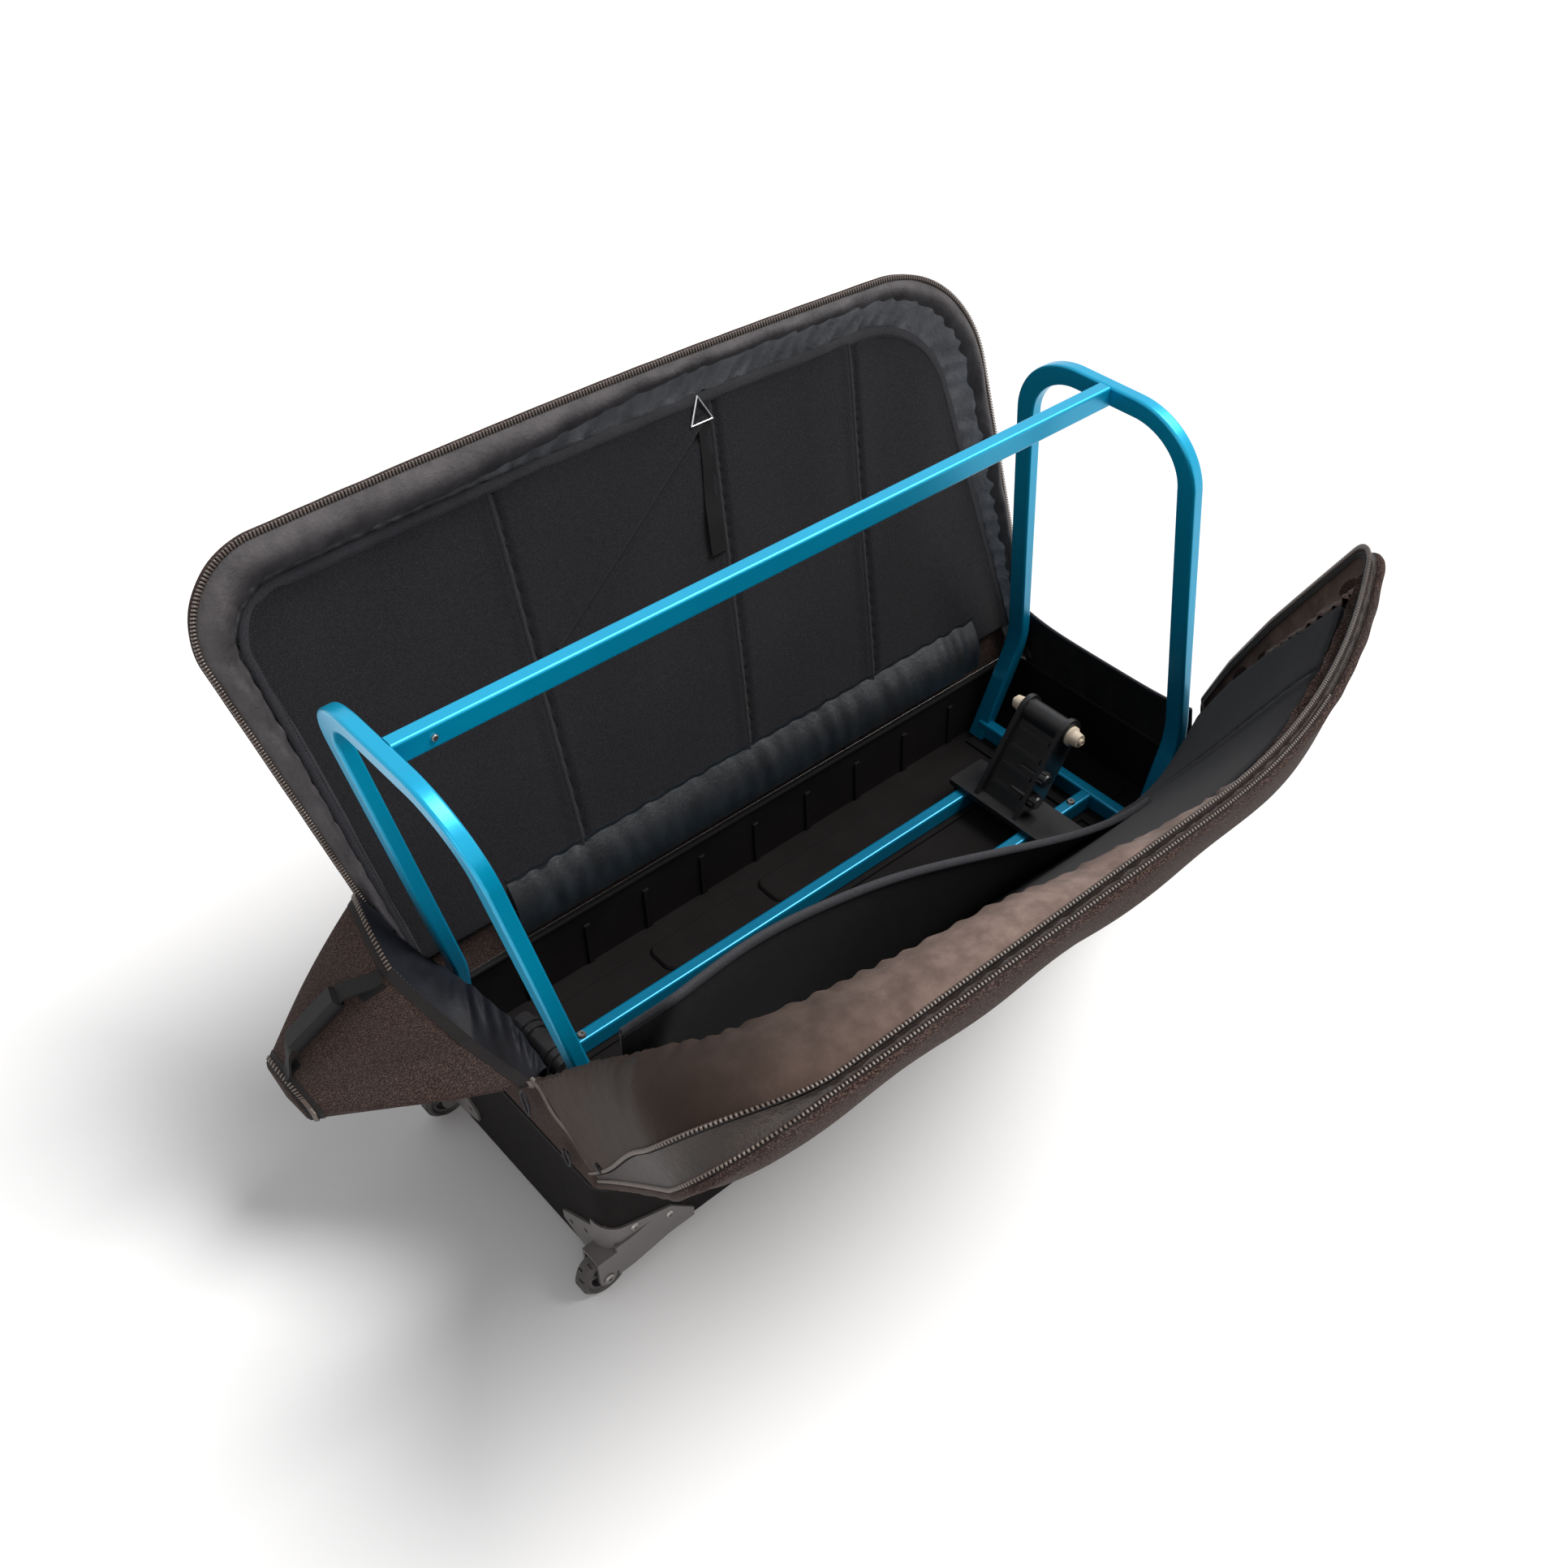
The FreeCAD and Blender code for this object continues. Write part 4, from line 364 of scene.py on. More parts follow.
def cordTube(name, points, radius):  # a round tube along smooth points
    curve = bpy.data.curves.new(name, "CURVE")
    curve.dimensions = "3D"
    curve.bevel_depth, curve.bevel_resolution, curve.use_fill_caps = radius * mm, 3, True
    spline = curve.splines.new("NURBS")
    spline.points.add(len(points) - 1)
    for spot, point in zip(spline.points, points):
        spot.co = (*(c * mm for c in point), 1.0)
    spline.order_u, spline.use_endpoint_u, spline.resolution_u = 3, True, 4
    piece = bpy.data.objects.new(name, curve)
    bpy.context.scene.collection.objects.link(piece)
    choose(piece)
    bpy.ops.object.convert(target="MESH")
    return tidyMesh(bpy.context.object)


def dress(piece, finish, body, slot, *nodes):
    piece.data.materials.clear()
    piece.data.materials.append(finishes[finish])
    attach(piece, body)
    if nodes:
        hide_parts(*nodes)
    return piece


def waves(seed, along, across, length, width, count=7):  # seeded ripples, about -1 to 1
    dice = np.random.default_rng(seed)
    total = np.zeros_like(along)
    for number in range(count):
        rate, slant, phase = dice.uniform(0.55, 1.7), dice.uniform(-1.0, 1.0), dice.uniform(0.0, 6.28)
        total += np.sin(6.28 * (along * rate / length + across * slant / width) + phase)
    return total / math.sqrt(count)


def ease(value, start=0.0, over=1.0):  # smooth rise from 0 to 1
    value = np.clip((value - start) / over, 0.0, 1.0)
    return value * value * (3.0 - 2.0 * value)


def arch(share):  # 0 at both ends, 1 in the middle
    return np.sin(math.pi * share)


def unit(v):
    return v / (np.linalg.norm(v, axis=1, keepdims=True) + 1e-12)


def runOf(points, radii, samples):  # straight runs and corner arcs, sampled alike so that two runs can be matched
    points = [np.array(p, float) for p in points]
    steps = np.linspace(0.0, 1.0, samples)[:, None]
    done, start = [], points[0]
    for before, corner, after, radius in zip(points, points[1:], points[2:], radii):
        back = (before - corner) / np.linalg.norm(before - corner)
        on = (after - corner) / np.linalg.norm(after - corner)
        angle = math.acos(float(back @ on))
        reach = radius / math.tan(angle / 2.0)
        centre = corner + (back + on) / np.linalg.norm(back + on) * radius / math.sin(angle / 2.0)
        first, last, turn = corner + back * reach, corner + on * reach, math.pi - angle
        arc = np.sin((1.0 - steps) * turn) * (first - centre) + np.sin(steps * turn) * (last - centre)
        arc = arc / math.sin(turn)
        done += [start + (first - start) * steps[:-1], centre + arc[:-1]]
        start = last
    done.append(start + (points[-1] - start) * steps)
    return np.concatenate(done)


def shareOf(run):
    length = np.concatenate([[0.0], np.cumsum(np.linalg.norm(np.diff(run, axis=0), axis=1))])
    return length / length[-1], length[-1]


# side panels, in their own coordinates: x along the case, u up the panel, d in from the outside
panel = {"hingeY": 200.0, "hingeZ": 190.0, "height": 680.0, "footHalf": 573.0, "topNose": -712.0, "cornerNose": 100.0,
         "flareFoot": 14.0, "flareHead": 58.0, "padInset": 8.0, "padFoot": 64.0, "padFace": 18.3,
         "backLean": 15.0, "backCrown": 12.0, "crownStart": 700.0, "crownLength": 1100.0,
         "frontLean": 33.0, "frontBow": 25.5}
curl = {"startX": -60.0, "slant": 0.62, "inward": 138.0, "drawn": 111.0,  # front panel's curled tail end
        "tailX": 490.0, "drawnFrom": 100.0, "drawnOver": 580.0,
        "up": (0.0, 60.0, 120.0, 250.0, 400.0, 680.0), "upShares": (0.0, 0.2, 0.5, 0.68, 0.82, 1.0)}


def backPlace(x, u, d):
    lean = math.radians(panel["backLean"])
    along = np.clip((x + panel["crownStart"]) / panel["crownLength"], 0.0, 1.0)
    u = u + panel["backCrown"] * arch(along) * ease(u / panel["height"])
    return (x, panel["hingeY"] + u * math.sin(lean) - d * math.cos(lean),
            panel["hingeZ"] + u * math.cos(lean) + d * math.sin(lean))


def frontPlace(x, u, d):
    high = np.clip(u / panel["height"], 0.0, 1.2)
    start = curl["startX"] + curl["slant"] * (panel["height"] - u)
    width = panel["footHalf"] + (curl["tailX"] - panel["footHalf"]) * high - start
    share = np.clip((x - start) / width, 0.0, 1.2)
    inward = curl["inward"] * np.interp(u, curl["up"], curl["upShares"])
    turn = np.arctan(2.1 * inward * share ** 1.1 / width)
    drawn = np.clip((u - curl["drawnFrom"]) / curl["drawnOver"], 0.0, 1.1)
    x = x - curl["drawn"] * drawn * share ** 1.6 - d * np.sin(turn)
    d = d * np.cos(turn) + inward * share ** 2.1
    d = d - panel["frontBow"] * high ** 1.4  # the soft panel sags outwards
    lean = math.radians(panel["frontLean"])
    return (x, -panel["hingeY"] - u * math.sin(lean) + d * math.cos(lean),
            panel["hingeZ"] + u * math.cos(lean) + d * math.sin(lean))


def outlineRun(side, inset, foot=0.0):
    high = panel["height"] - inset
    nose = (panel["topNose"] + panel["footHalf"]) / panel["height"]
    tail = (side["topTail"] - panel["footHalf"]) / panel["height"]
    low = inset * (panel["flareFoot"] / panel["flareHead"])
    points = [(-panel["footHalf"] + low + nose * foot, foot), (panel["topNose"] + inset, high),
              (side["topTail"] - inset, high), (panel["footHalf"] - low + tail * foot, foot)]
    return runOf(points, (panel["cornerNose"] - inset * 0.5, max(side["cornerTail"] - inset * 0.5, 24.0)), 48)


def edgeOf(run):  # a run with its shares, its length and its directions inwards
    share, length = shareOf(run)
    dx, du = np.gradient(run[:, 0]), np.gradient(run[:, 1])
    return {"outer": run, "share": share, "length": length, "inX": du / np.hypot(dx, du), "inU": -dx / np.hypot(dx, du)}


def sideOf(place, topTail, cornerTail, body):
    side = {"place": place, "topTail": topTail, "cornerTail": cornerTail, "body": body}
    return {**side, **edgeOf(outlineRun(side, 0.0)), "tray": outlineRun(side, panel["flareHead"])}


back = sideOf(backPlace, 526.0, 180.0, "back_panel")
front = sideOf(frontPlace, 490.0, 52.0, "front_panel")


def onRun(side, key, share):
    return np.interp(share, side["share"], side[key][:, 0]), np.interp(share, side["share"], side[key][:, 1])


def onEdge(side, share, reach):  # a point moved in from the edge
    x, u = onRun(side, "outer", share)
    return (x + np.interp(share, side["share"], side["inX"]) * reach,
            u + np.interp(share, side["share"], side["inU"]) * reach)


def between(side, share, reach):  # from the zipped edge towards the tray
    (x, u), (trayX, trayU) = onRun(side, "outer", share), onRun(side, "tray", share)
    return x + (trayX - x) * reach, u + (trayU - u) * reach


def rows(place, *values):
    return np.stack(np.broadcast_arrays(*place(*values)), axis=-1)


def edges(run, u):  # nose and tail edge of a run at a height
    top = int(np.argmax(run[:, 1] > run[:, 1].max() - 0.01))
    last = len(run) - 1 - int(np.argmax(run[::-1, 1] > run[:, 1].max() - 0.01))
    return (np.interp(u, run[:top + 1, 1], run[:top + 1, 0]), np.interp(u, run[:last - 1:-1, 1], run[:last - 1:-1, 0]))


def flareShare(side, x, u):  # 0 on the stiff middle, 1 at the zipped edge
    nose, tail = edges(side["outer"], np.clip(u, 0.0, panel["height"]))
    width = panel["flareFoot"] + (panel["flareHead"] - panel["flareFoot"]) * np.clip(u / panel["height"], 0.0, 1.0)
    parts = [1.0 - np.clip(gap / width, 0.0, 1.0) for gap in (x - nose, tail - x, panel["height"] - u)]
    return np.clip(sum(p ** 3 for p in parts) ** (1.0 / 3.0), 0.0, 1.0)


shell = {"wave": 2.2, "waveLength": 330.0, "waveWidth": 420.0, "flat": (60.0, 300.0), "cloth": 2.6}


def panelShell(side, name, depth, bulge, seed, node):
    def form(a, b):
        u = 1.0 + (panel["height"] - 1.0) * (1.0 - (1.0 - b) ** 1.4)
        nose, tail = edges(side["outer"], u)
        x = nose + (tail - nose) * (0.5 - 0.5 * np.cos(a * math.pi) * (0.6 + 0.4 * np.abs(np.cos(a * math.pi))))
        belly = bulge * arch(a) * arch(b) * (1.0 - 0.8 * ease(x, *shell["flat"]))
        d = depth * flareShare(side, x, u) ** 1.5 - belly
        ripple = shell["wave"] * waves(seed, x, u, shell["waveLength"], shell["waveWidth"])
        d = d + ripple * ease(b * 4.0) * ease((1.0 - b) * 6.0)
        return side["place"](x, u, d)
    return dress(sewn(name, 150, 90, form, shell["cloth"], 0.0), "shell", side["body"], "shell", node)


panelShell(back, "backShell", 38.0, 7.0, 3, "back_panel_shell")
panelShell(front, "frontShell", 16.0, 24.0, 5, "front_panel_shell")


def rimRoll(side, name, depth, radius):  # rolled edge of the outer fabric, outside the zip
    def form(a, b):
        angle = a * 2.0 * math.pi
        x, u = onEdge(side, b, radius * (0.4 + np.cos(angle)))
        return side["place"](x, u, depth + radius * np.sin(angle) + 0.5 * waves(13, b * side["length"], a, 90.0, 3.0))
    return dress(sewn(name, 10, 420, form), "shell", side["body"], "shell")


rimRoll(back, "backRim", 35.0, 5.5)
rimRoll(front, "frontRim", 12.0, 5.0)
print("panel shells sewn")

stitch = {"size": (3.4, 1.1, 0.9), "bevel": 0.3, "gap": 5.2, "lift": 0.3}


def stitched(name, path, lift, body, slot):  # a row of stitches along a path; lift points out of the cloth
    share, length = shareOf(path)
    spots = np.linspace(0.004, 0.996, int(length / stitch["gap"]))
    at = np.stack([np.interp(spots, share, path[:, k]) for k in range(3)], axis=1)
    up = unit(np.stack([np.interp(spots, share, lift[:, k]) for k in range(3)], axis=1))
    along = unit(np.gradient(at, axis=0))
    across = unit(np.cross(up, along))
    axes = list(zip(along, across, np.cross(along, across)))
    return dress(copied(name, stitch["size"], stitch["bevel"], at + up * stitch["lift"], axes), "thread", body, slot)


felt = {"thickness": 8.0, "crown": 1.6, "crownOver": 60.0, "drop": 2.5, "dropOver": 9.0, "wave": 1.3,
        "waveLength": 300.0, "waveWidth": 260.0, "sink": 4.6, "sinkWidth": 4.5, "swell": 2.2, "swellOff": 13.0,
        "swellWidth": 10.0, "seamEnd": 8.0,
        "bindingWidth": 15.0, "bindingOut": 0.12, "bindingCrown": 2.4, "bindingSink": 1.0, "bindingWave": 0.25,
        "bindingStitch": 9.5, "stitchLift": 1.7, "seamTapeOff": 3.0, "seamTapeWidth": 8.0, "seamTapeCrown": 0.9}


def padFace(run, seams, seed):
    high = run[:, 1].max()

    def face(x, u):
        nose, tail = edges(run, u)
        rim = np.minimum(np.minimum(x - nose, tail - x), np.minimum(high - u, u - panel["padFoot"]))
        d = panel["padFace"] + felt["crown"] * ease(rim / felt["crownOver"])
        d = d - felt["drop"] * (1.0 - ease(rim / felt["dropOver"]))
        d = d + felt["wave"] * waves(seed, x, u, felt["waveLength"], felt["waveWidth"])
        for (x0, u0), (x1, u1) in seams:
            length = math.hypot(x1 - x0, u1 - u0)
            along = ((x - x0) * (x1 - x0) + (u - u0) * (u1 - u0)) / length
            off = ((x - x0) * (u1 - u0) - (u - u0) * (x1 - x0)) / length
            end = felt["seamEnd"]
            inside = ease((along + end) / (2.0 * end)) * ease((length - along + end) / (2.0 * end))
            sink = felt["sink"] * np.exp(-(off / felt["sinkWidth"]) ** 2)
            d = d - inside * (sink - felt["swell"] * np.exp(-((off - felt["swellOff"]) / felt["swellWidth"]) ** 2))
        return d
    return face


def feltPad(side, name, seams, seed, across, along, node):
    run = outlineRun(side, panel["flareHead"] + panel["padInset"], panel["padFoot"])
    face, high = padFace(run, seams, seed), run[:, 1].max()

    def form(a, b):
        u = panel["padFoot"] + (high - panel["padFoot"]) * (1.0 - (1.0 - b) ** 1.25)
        nose, tail = edges(run, u)
        x = nose + (tail - nose) * a
        return side["place"](x, u, face(x, u))
    pad = dress(sewn(name, across, along, form, felt["thickness"], -1.0), "felt", side["body"], "felt", node)
    edge = edgeOf(run)

    def tape(a, b):
        x, u = onEdge(edge, b, felt["bindingWidth"] * (a - felt["bindingOut"]))
        crown = felt["bindingCrown"] * arch(np.clip(a, 0.0, 1.0)) ** 0.6
        wave = felt["bindingWave"] * waves(11, b * edge["length"], a, 60.0, 3.0)
        return side["place"](x, u, panel["padFace"] + crown - felt["bindingSink"] + wave)
    dress(sewn(name + "Binding", 8, int(edge["length"] / 7.0), tape, 1.4, 0.0), "binding", side["body"], "felt")
    b = np.linspace(0.002, 0.998, 500)
    x, u = onEdge(edge, b, felt["bindingStitch"])
    path = rows(side["place"], x, u, panel["padFace"] + felt["stitchLift"] + 0.0 * x)
    raised = rows(side["place"], x, u, panel["padFace"] + 9.0 + 0.0 * x)
    stitched(name + "Stitches", path, raised - path, side["body"], "felt")
    for number, ((x0, u0), (x1, u1)) in enumerate(seams):
        slope = np.array((x1 - x0, u1 - u0)) / math.hypot(x1 - x0, u1 - u0)

        def seamTape(a, b):  # flat tape beside each sewn fold
            beside = felt["seamTapeOff"] + felt["seamTapeWidth"] * a
            x, u = x0 + (x1 - x0) * b + slope[1] * beside, u0 + (u1 - u0) * b - slope[0] * beside
            return side["place"](x, u, face(x, u) + felt["seamTapeCrown"] * arch(a))
        dress(sewn(name + "Seam%d" % number, 4, 70, seamTape, 0.8), "felt", side["body"], "felt")


backSeams = (((-283.0, 608.0), (-287.0, 70.0)), ((63.0, 608.0), (10.0, 70.0)), ((312.0, 604.0), (258.0, 70.0)),
             ((46.0, 575.0), (-250.0, 372.0)))
feltPad(back, "backPad", backSeams, 21, 230, 130, "back_panel_pad")
frontSeams = (((300.0, 608.0), (330.0, 70.0)), ((-240.0, 608.0), (-250.0, 70.0)))
feltPad(front, "frontPad", frontSeams, 23, 200, 110, "front_panel_pad")
print("pads sewn")


# borders between the zip and the pads
pucker = {"swell": 2.6, "swellLength": 120.0, "sway": 0.02, "swayLonger": 1.3}


def borderForm(side, profile, gathers, length, seed):
    def form(a, b):
        share, depth = profile(a, *onRun(side, "outer", b))
        s = b * side["length"]
        depth = depth + gathers * (a ** 3) * waves(seed, s, a, length, 4.0)
        depth = depth + pucker["swell"] * arch(a) * waves(seed + 1, s, a, pucker["swellLength"], 2.0)
        share = share + pucker["sway"] * (a ** 2) * waves(seed + 2, s, a, length * pucker["swayLonger"], 4.0)
        return side["place"](*between(side, b, share), depth)
    return form


roll = {"depth": 40.0, "crown": 6.0, "noseCrown": 8.0, "fall": 15.0, "hemFall": 9.0, "noseWide": 0.94,
        "narrowing": 0.42, "narrow": (-380.0, 420.0)}


def backProfile(a, x, u):  # a fat roll at the nose, narrower towards the tail
    wide = roll["noseWide"] - roll["narrowing"] * ease(x, *roll["narrow"])
    crown = (roll["crown"] + roll["noseCrown"] * wide) * arch(np.clip(a * 1.05, 0.0, 1.0)) ** 0.8
    depth = roll["depth"] + crown - roll["fall"] * a ** 2.2
    return 0.04 + wide * a ** 0.9, depth - roll["hemFall"] * ease(a, 0.9, 0.1)


gather = {"x": (-712.0, -676.0, -642.0, -596.0, -499.0, -407.0, -304.0, -209.0, -99.0, 20.0, 120.0),
          "depth": (131.0, 121.0, 110.0, 103.0, 87.0, 75.0, 66.0, 50.0, 36.0, 26.0, 20.0),
          "noseFoot": 160.0, "noseFall": 29.0, "noseHigh": 600.0,
          "noseEdge": (-556.0, -14.0), "noseEnd": (470.0, 180.0), "tailStart": (60.0, 80.0),  # start, then run
          "footEdge": (-560.0, -10.0), "footEnd": (130.0, 300.0), "top": (430.0, 200.0), "upright": 0.82,
          "tailDepth": 20.0, "start": 22.0, "tall": 80.0, "billow": 18.0, "tailBillow": 14.0, "hemTuck": 4.0}
band = {"tail": 5.0, "nose": 30.0, "noseEnd": (-712.0, 170.0), "high": 520.0,
        "first": 0.02, "span": 0.96, "off": 0.02, "bow": 0.05, "crinkle": 0.9, "depth": 18.0, "cover": 3.0}


def gatherDepth(x, u):  # how far in the front border's elastic edge stands
    nose = gather["noseFoot"] - gather["noseFall"] * np.clip(u / gather["noseHigh"], 0.0, 1.0)
    onNose = ease(x, *gather["noseEdge"]) * (1.0 - ease(u, *gather["noseEnd"]))
    onTail = ease(x, *gather["tailStart"])
    top = np.interp(x, gather["x"], gather["depth"])
    return (top * (1.0 - onNose) + nose * onNose) * (1.0 - onTail) + gather["tailDepth"] * onTail


def bandWidth(x, u):  # stitched band between the two front zips
    return band["tail"] + band["nose"] * (1.0 - ease(x, *band["noseEnd"])) * ease(u / band["high"])


def frontProfile(a, x, u):
    start, end = gather["start"] + bandWidth(x, u), gatherDepth(x, u)
    tall = np.clip((end - start) / gather["tall"], 0.0, 1.0)
    top = ease(u, *gather["top"])
    foot = ease(x, *gather["footEdge"]) * (1.0 - ease(u, *gather["footEnd"]))
    share = 0.05 + (0.8 + 0.58 * top * tall) * (a ** (1.0 + 0.5 * tall))
    share = share * (1.0 - gather["upright"] * foot)  # stands upright at the foot
    billow = (gather["billow"] * tall - gather["tailBillow"] * ease(x / 120.0)) * arch(a ** 0.8)
    depth = start + (end - start) * (1.0 - (1.0 - a) ** 1.25)
    return share, depth + billow - gather["hemTuck"] * ease(a, 0.94, 0.06)


backBorderForm = borderForm(back, backProfile, 1.4, 34.0, 31)
frontBorderForm = borderForm(front, frontProfile, 2.0, 38.0, 41)
backBorder = dress(sewn("backBorder", 22, 520, backBorderForm, 1.2),
                   "borderBack", "back_panel", "border", "back_panel_border")
frontBorder = dress(sewn("frontBorder", 26, 520, frontBorderForm, 1.2),
                    "borderFront", "front_panel", "border", "front_panel_border")
hems = {"frontHem": (frontBorderForm, (0.02, 0.56, 260), 3.2, "borderFront", "front_panel"),
        "backHem": (backBorderForm, (0.01, 0.99, 420), 2.4, "borderBack", "back_panel")}
for name, (form, span, radius, finish, body) in hems.items():
    shares = np.linspace(*span)
    dress(cordTube(name, rows(form, np.ones_like(shares), shares), radius), finish, body, "border")


lining = {"start": 0.25, "reach": 1.05, "fall": 30.0, "face": 9.0, "crumple": 2.2, "span": 80.0, "length": 45.0,
          "width": 60.0}
tailStrip = {"start": 0.55, "span": 0.18, "length": 460.0, "inset": 22.0, "width": 12.0, "sway": 5.0, "depth": 12.0,
             "lift": 22.0}


def liningForm(a, b):
    crumple = waves(51, b * back["length"], a * lining["span"], lining["length"], lining["width"])
    depth = lining["fall"] * (1.0 - ease(a * 1.2)) + lining["face"] + lining["crumple"] * crumple
    return backPlace(*between(back, b, lining["start"] + lining["reach"] * a), depth)


def tailStripForm(a, b):  # loose strip of outer fabric between the rim and the pad at the front panel's tail
    sway = tailStrip["sway"] * waves(55, b * tailStrip["length"], a, 90.0, 6.0)
    share = tailStrip["start"] + tailStrip["span"] * b
    x, u = onEdge(front, share, tailStrip["inset"] + tailStrip["width"] * a + sway)
    lift = tailStrip["lift"] * a * arch(np.clip(b, 0.02, 0.98)) ** 0.4
    return frontPlace(x, u, tailStrip["depth"] + lift)


dress(sewn("backLining", 14, 420, liningForm, 1.0), "lining", "back_panel", "border")
dress(sewn("tailStrip", 8, 120, tailStripForm, 1.4), "shell", "front_panel", "border")
print("borders sewn")


# zips: tape and a row of coil teeth along the panels' edges
coil = {"pitch": 4.4, "tooth": (2.8, 6.8, 3.8), "bevel": 0.8, "tape": 15.0, "lift": 1.6, "hang": 0.15, "bow": 0.8,
        "ride": 2.0, "sewn": 0.62, "sewnLift": 1.2}


def zipEdge(side, name, inset, depthAt, first=0.0, last=1.0, node=None):
    def edgePoint(share, reach, lift):
        x, u = onEdge(side, share, reach)
        return rows(side["place"], x, u, depthAt(*onRun(side, "outer", share)) + lift)

    def form(a, b):
        share = first + (last - first) * b
        return edgePoint(share, inset + coil["tape"] * (a - coil["hang"]), coil["bow"] * arch(a)).T
    dress(sewn(name + "Tape", 5, int(side["length"] * (last - first) / 9.0), form, 1.1),
          "zipTape", side["body"], "zip", *([node] if node else []))
    spots = np.arange(first + 0.002, last - 0.002, coil["pitch"] / side["length"])
    at, onward = edgePoint(spots, inset, coil["ride"]), edgePoint(spots + 0.0004, inset, coil["ride"])
    inward, raised = edgePoint(spots, inset + 1.0, coil["ride"]), edgePoint(spots, inset, coil["ride"] + 1.0)
    axes = list(zip(unit(onward - at), unit(inward - at), unit(raised - at)))
    dress(copied(name + "Coil", coil["tooth"], coil["bevel"], at, axes), "coil", side["body"], "zip")
    b = np.linspace(first + 0.004, last - 0.004, 500)
    seam = inset + coil["tape"] * coil["sewn"]
    path = edgePoint(b, seam, coil["sewnLift"])
    stitched(name + "Stitches", path, edgePoint(b, seam, 9.0) - path, side["body"], "zip")


zipEdge(back, "backZip", 0.0, lambda x, u: 41.0 + 0.0 * x, node="back_panel_zip")
zipEdge(front, "frontInnerZip", 0.5, lambda x, u: 23.0 + bandWidth(x, u), node="front_panel_zip")
zipEdge(front, "frontOuterZip", 0.5, lambda x, u: 17.0 + 0.0 * x, 0.02, 0.62)


def bandForm(a, b):
    share = band["first"] + band["span"] * b
    bulge = arch(a)
    crinkle = band["crinkle"] * waves(61, b * front["length"], a, 34.0, 2.0) * bulge
    depth = band["depth"] + (band["cover"] + bandWidth(*onRun(front, "outer", share))) * a + crinkle
    return frontPlace(*between(front, share, band["off"] + band["bow"] * bulge), depth)


dress(sewn("frontBand", 12, 460, bandForm, 1.0), "band", "front_panel", "border")
print("zips laid")


# felt wall of the wheel pocket, inside the front panel
pocketWall = {"foot": 72.0, "depth": 19.5, "thickness": 6.0,
              "x": (-600.0, -500.0, -398.0, -293.0, -143.0, 49.0, 226.0),
              "high": (500.0, 484.0, 455.0, 425.0, 375.0, 325.0, 275.0),
              "out": (150.0, 152.0, 150.0, 141.0, 104.0, 52.0, 26.0),
              "nose": -602.0, "length": 828.0, "noseCut": 70.0, "noseRound": (-604.0, 60.0), "footShift": 46.0,
              "bindingRadius": 4.6}
wallHigh = np.polyfit(pocketWall["x"], pocketWall["high"], 3)
wallOut = np.polyfit(pocketWall["x"], pocketWall["out"], 4)


def wallPoint(x, b, lift):
    high, out = np.polyval(wallHigh, x), np.polyval(wallOut, x)
    high = high - pocketWall["noseCut"] * (1.0 - ease(x, *pocketWall["noseRound"])) ** 2
    u = pocketWall["foot"] + (high - pocketWall["foot"]) * b
    d = pocketWall["depth"] + (out - pocketWall["depth"]) * b ** 1.1
    return frontPlace(x, u, d + lift + 2.0 * waves(71, x, u, 340.0, 300.0) * ease(b * 3.0))


def wallForm(a, b):
    x = pocketWall["nose"] + pocketWall["length"] * a + pocketWall["footShift"] * (1.0 - a) ** 2 * (1.0 - b)
    return wallPoint(x, b, pocketWall["thickness"] / 2.0)


def wallBindingForm(a, b):
    turn = (a - 0.5) * 2.0 * math.pi * 0.86
    x = pocketWall["nose"] + 2.0 + (pocketWall["length"] - 4.0) * b
    lift = pocketWall["thickness"] / 2.0 + pocketWall["bindingRadius"] * np.sin(turn)
    return wallPoint(x, 0.992 + 0.012 * np.cos(turn), lift)


feltWall = dress(sewn("pocketWall", 130, 60, wallForm, pocketWall["thickness"]),
                 "felt", "front_panel", "felt", "wheel_pocket")
dress(sewn("pocketWallBinding", 12, 150, wallBindingForm, 0.9), "binding", "front_panel", "felt")


# elastic pocket strip and hook strap on the back panel
strip = {"nose": -420.0, "tail": 470.0, "low": 20.0, "high": 112.0, "face": 19.5, "belly": 11.0,
         "foldLength": 42.0, "fold": 1.1, "sway": 1.5, "elastic": 0.93, "hem": 2.0}


def stripForm(a, b):
    x = strip["nose"] + (strip["tail"] - strip["nose"]) * a
    u = strip["low"] + (strip["high"] - strip["low"]) * b
    fold = waves(81, x, b, strip["foldLength"], 3.0)
    pull = np.sin(math.pi * np.clip(b, 0.0, strip["elastic"]) / strip["elastic"])
    depth = strip["face"] + strip["belly"] * pull + strip["fold"] * fold * (0.3 + pull)
    return backPlace(x, u + strip["sway"] * fold * b, depth + strip["hem"] * ease(b, strip["elastic"], 0.04))


pocketStrip = dress(sewn("pocketStrip", 260, 28, stripForm, 1.0), "pocket", "back_panel", "felt", "back_pocket")
strap = {"topX": 42.0, "lowX": 20.0, "top": 590.0, "low": 402.0, "width": 25.0, "thickness": 2.0,
         "face": 20.0, "ripple": 3.0, "rippleRate": 7.0, "kick": 4.0}


def strapForm(a, b):
    u = strap["low"] + (strap["top"] - strap["low"]) * b
    x = strap["lowX"] + (strap["topX"] - strap["lowX"]) * ease(b) + strap["width"] * (a - 0.5)
    ripple = strap["ripple"] * np.sin(b * strap["rippleRate"]) ** 2 * (1.0 - b)
    return backPlace(x, u, strap["face"] + ripple + strap["kick"] * (1.0 - b) ** 3)


dress(sewn("hookStrap", 6, 60, strapForm, strap["thickness"]),
      "webbing", "back_panel", "webbing", "hook_strap")
print("pockets and strap sewn")


# ends of the case
ends = {"noseLean": -9.0, "tailLean": -7.7, "rim": 190.3}


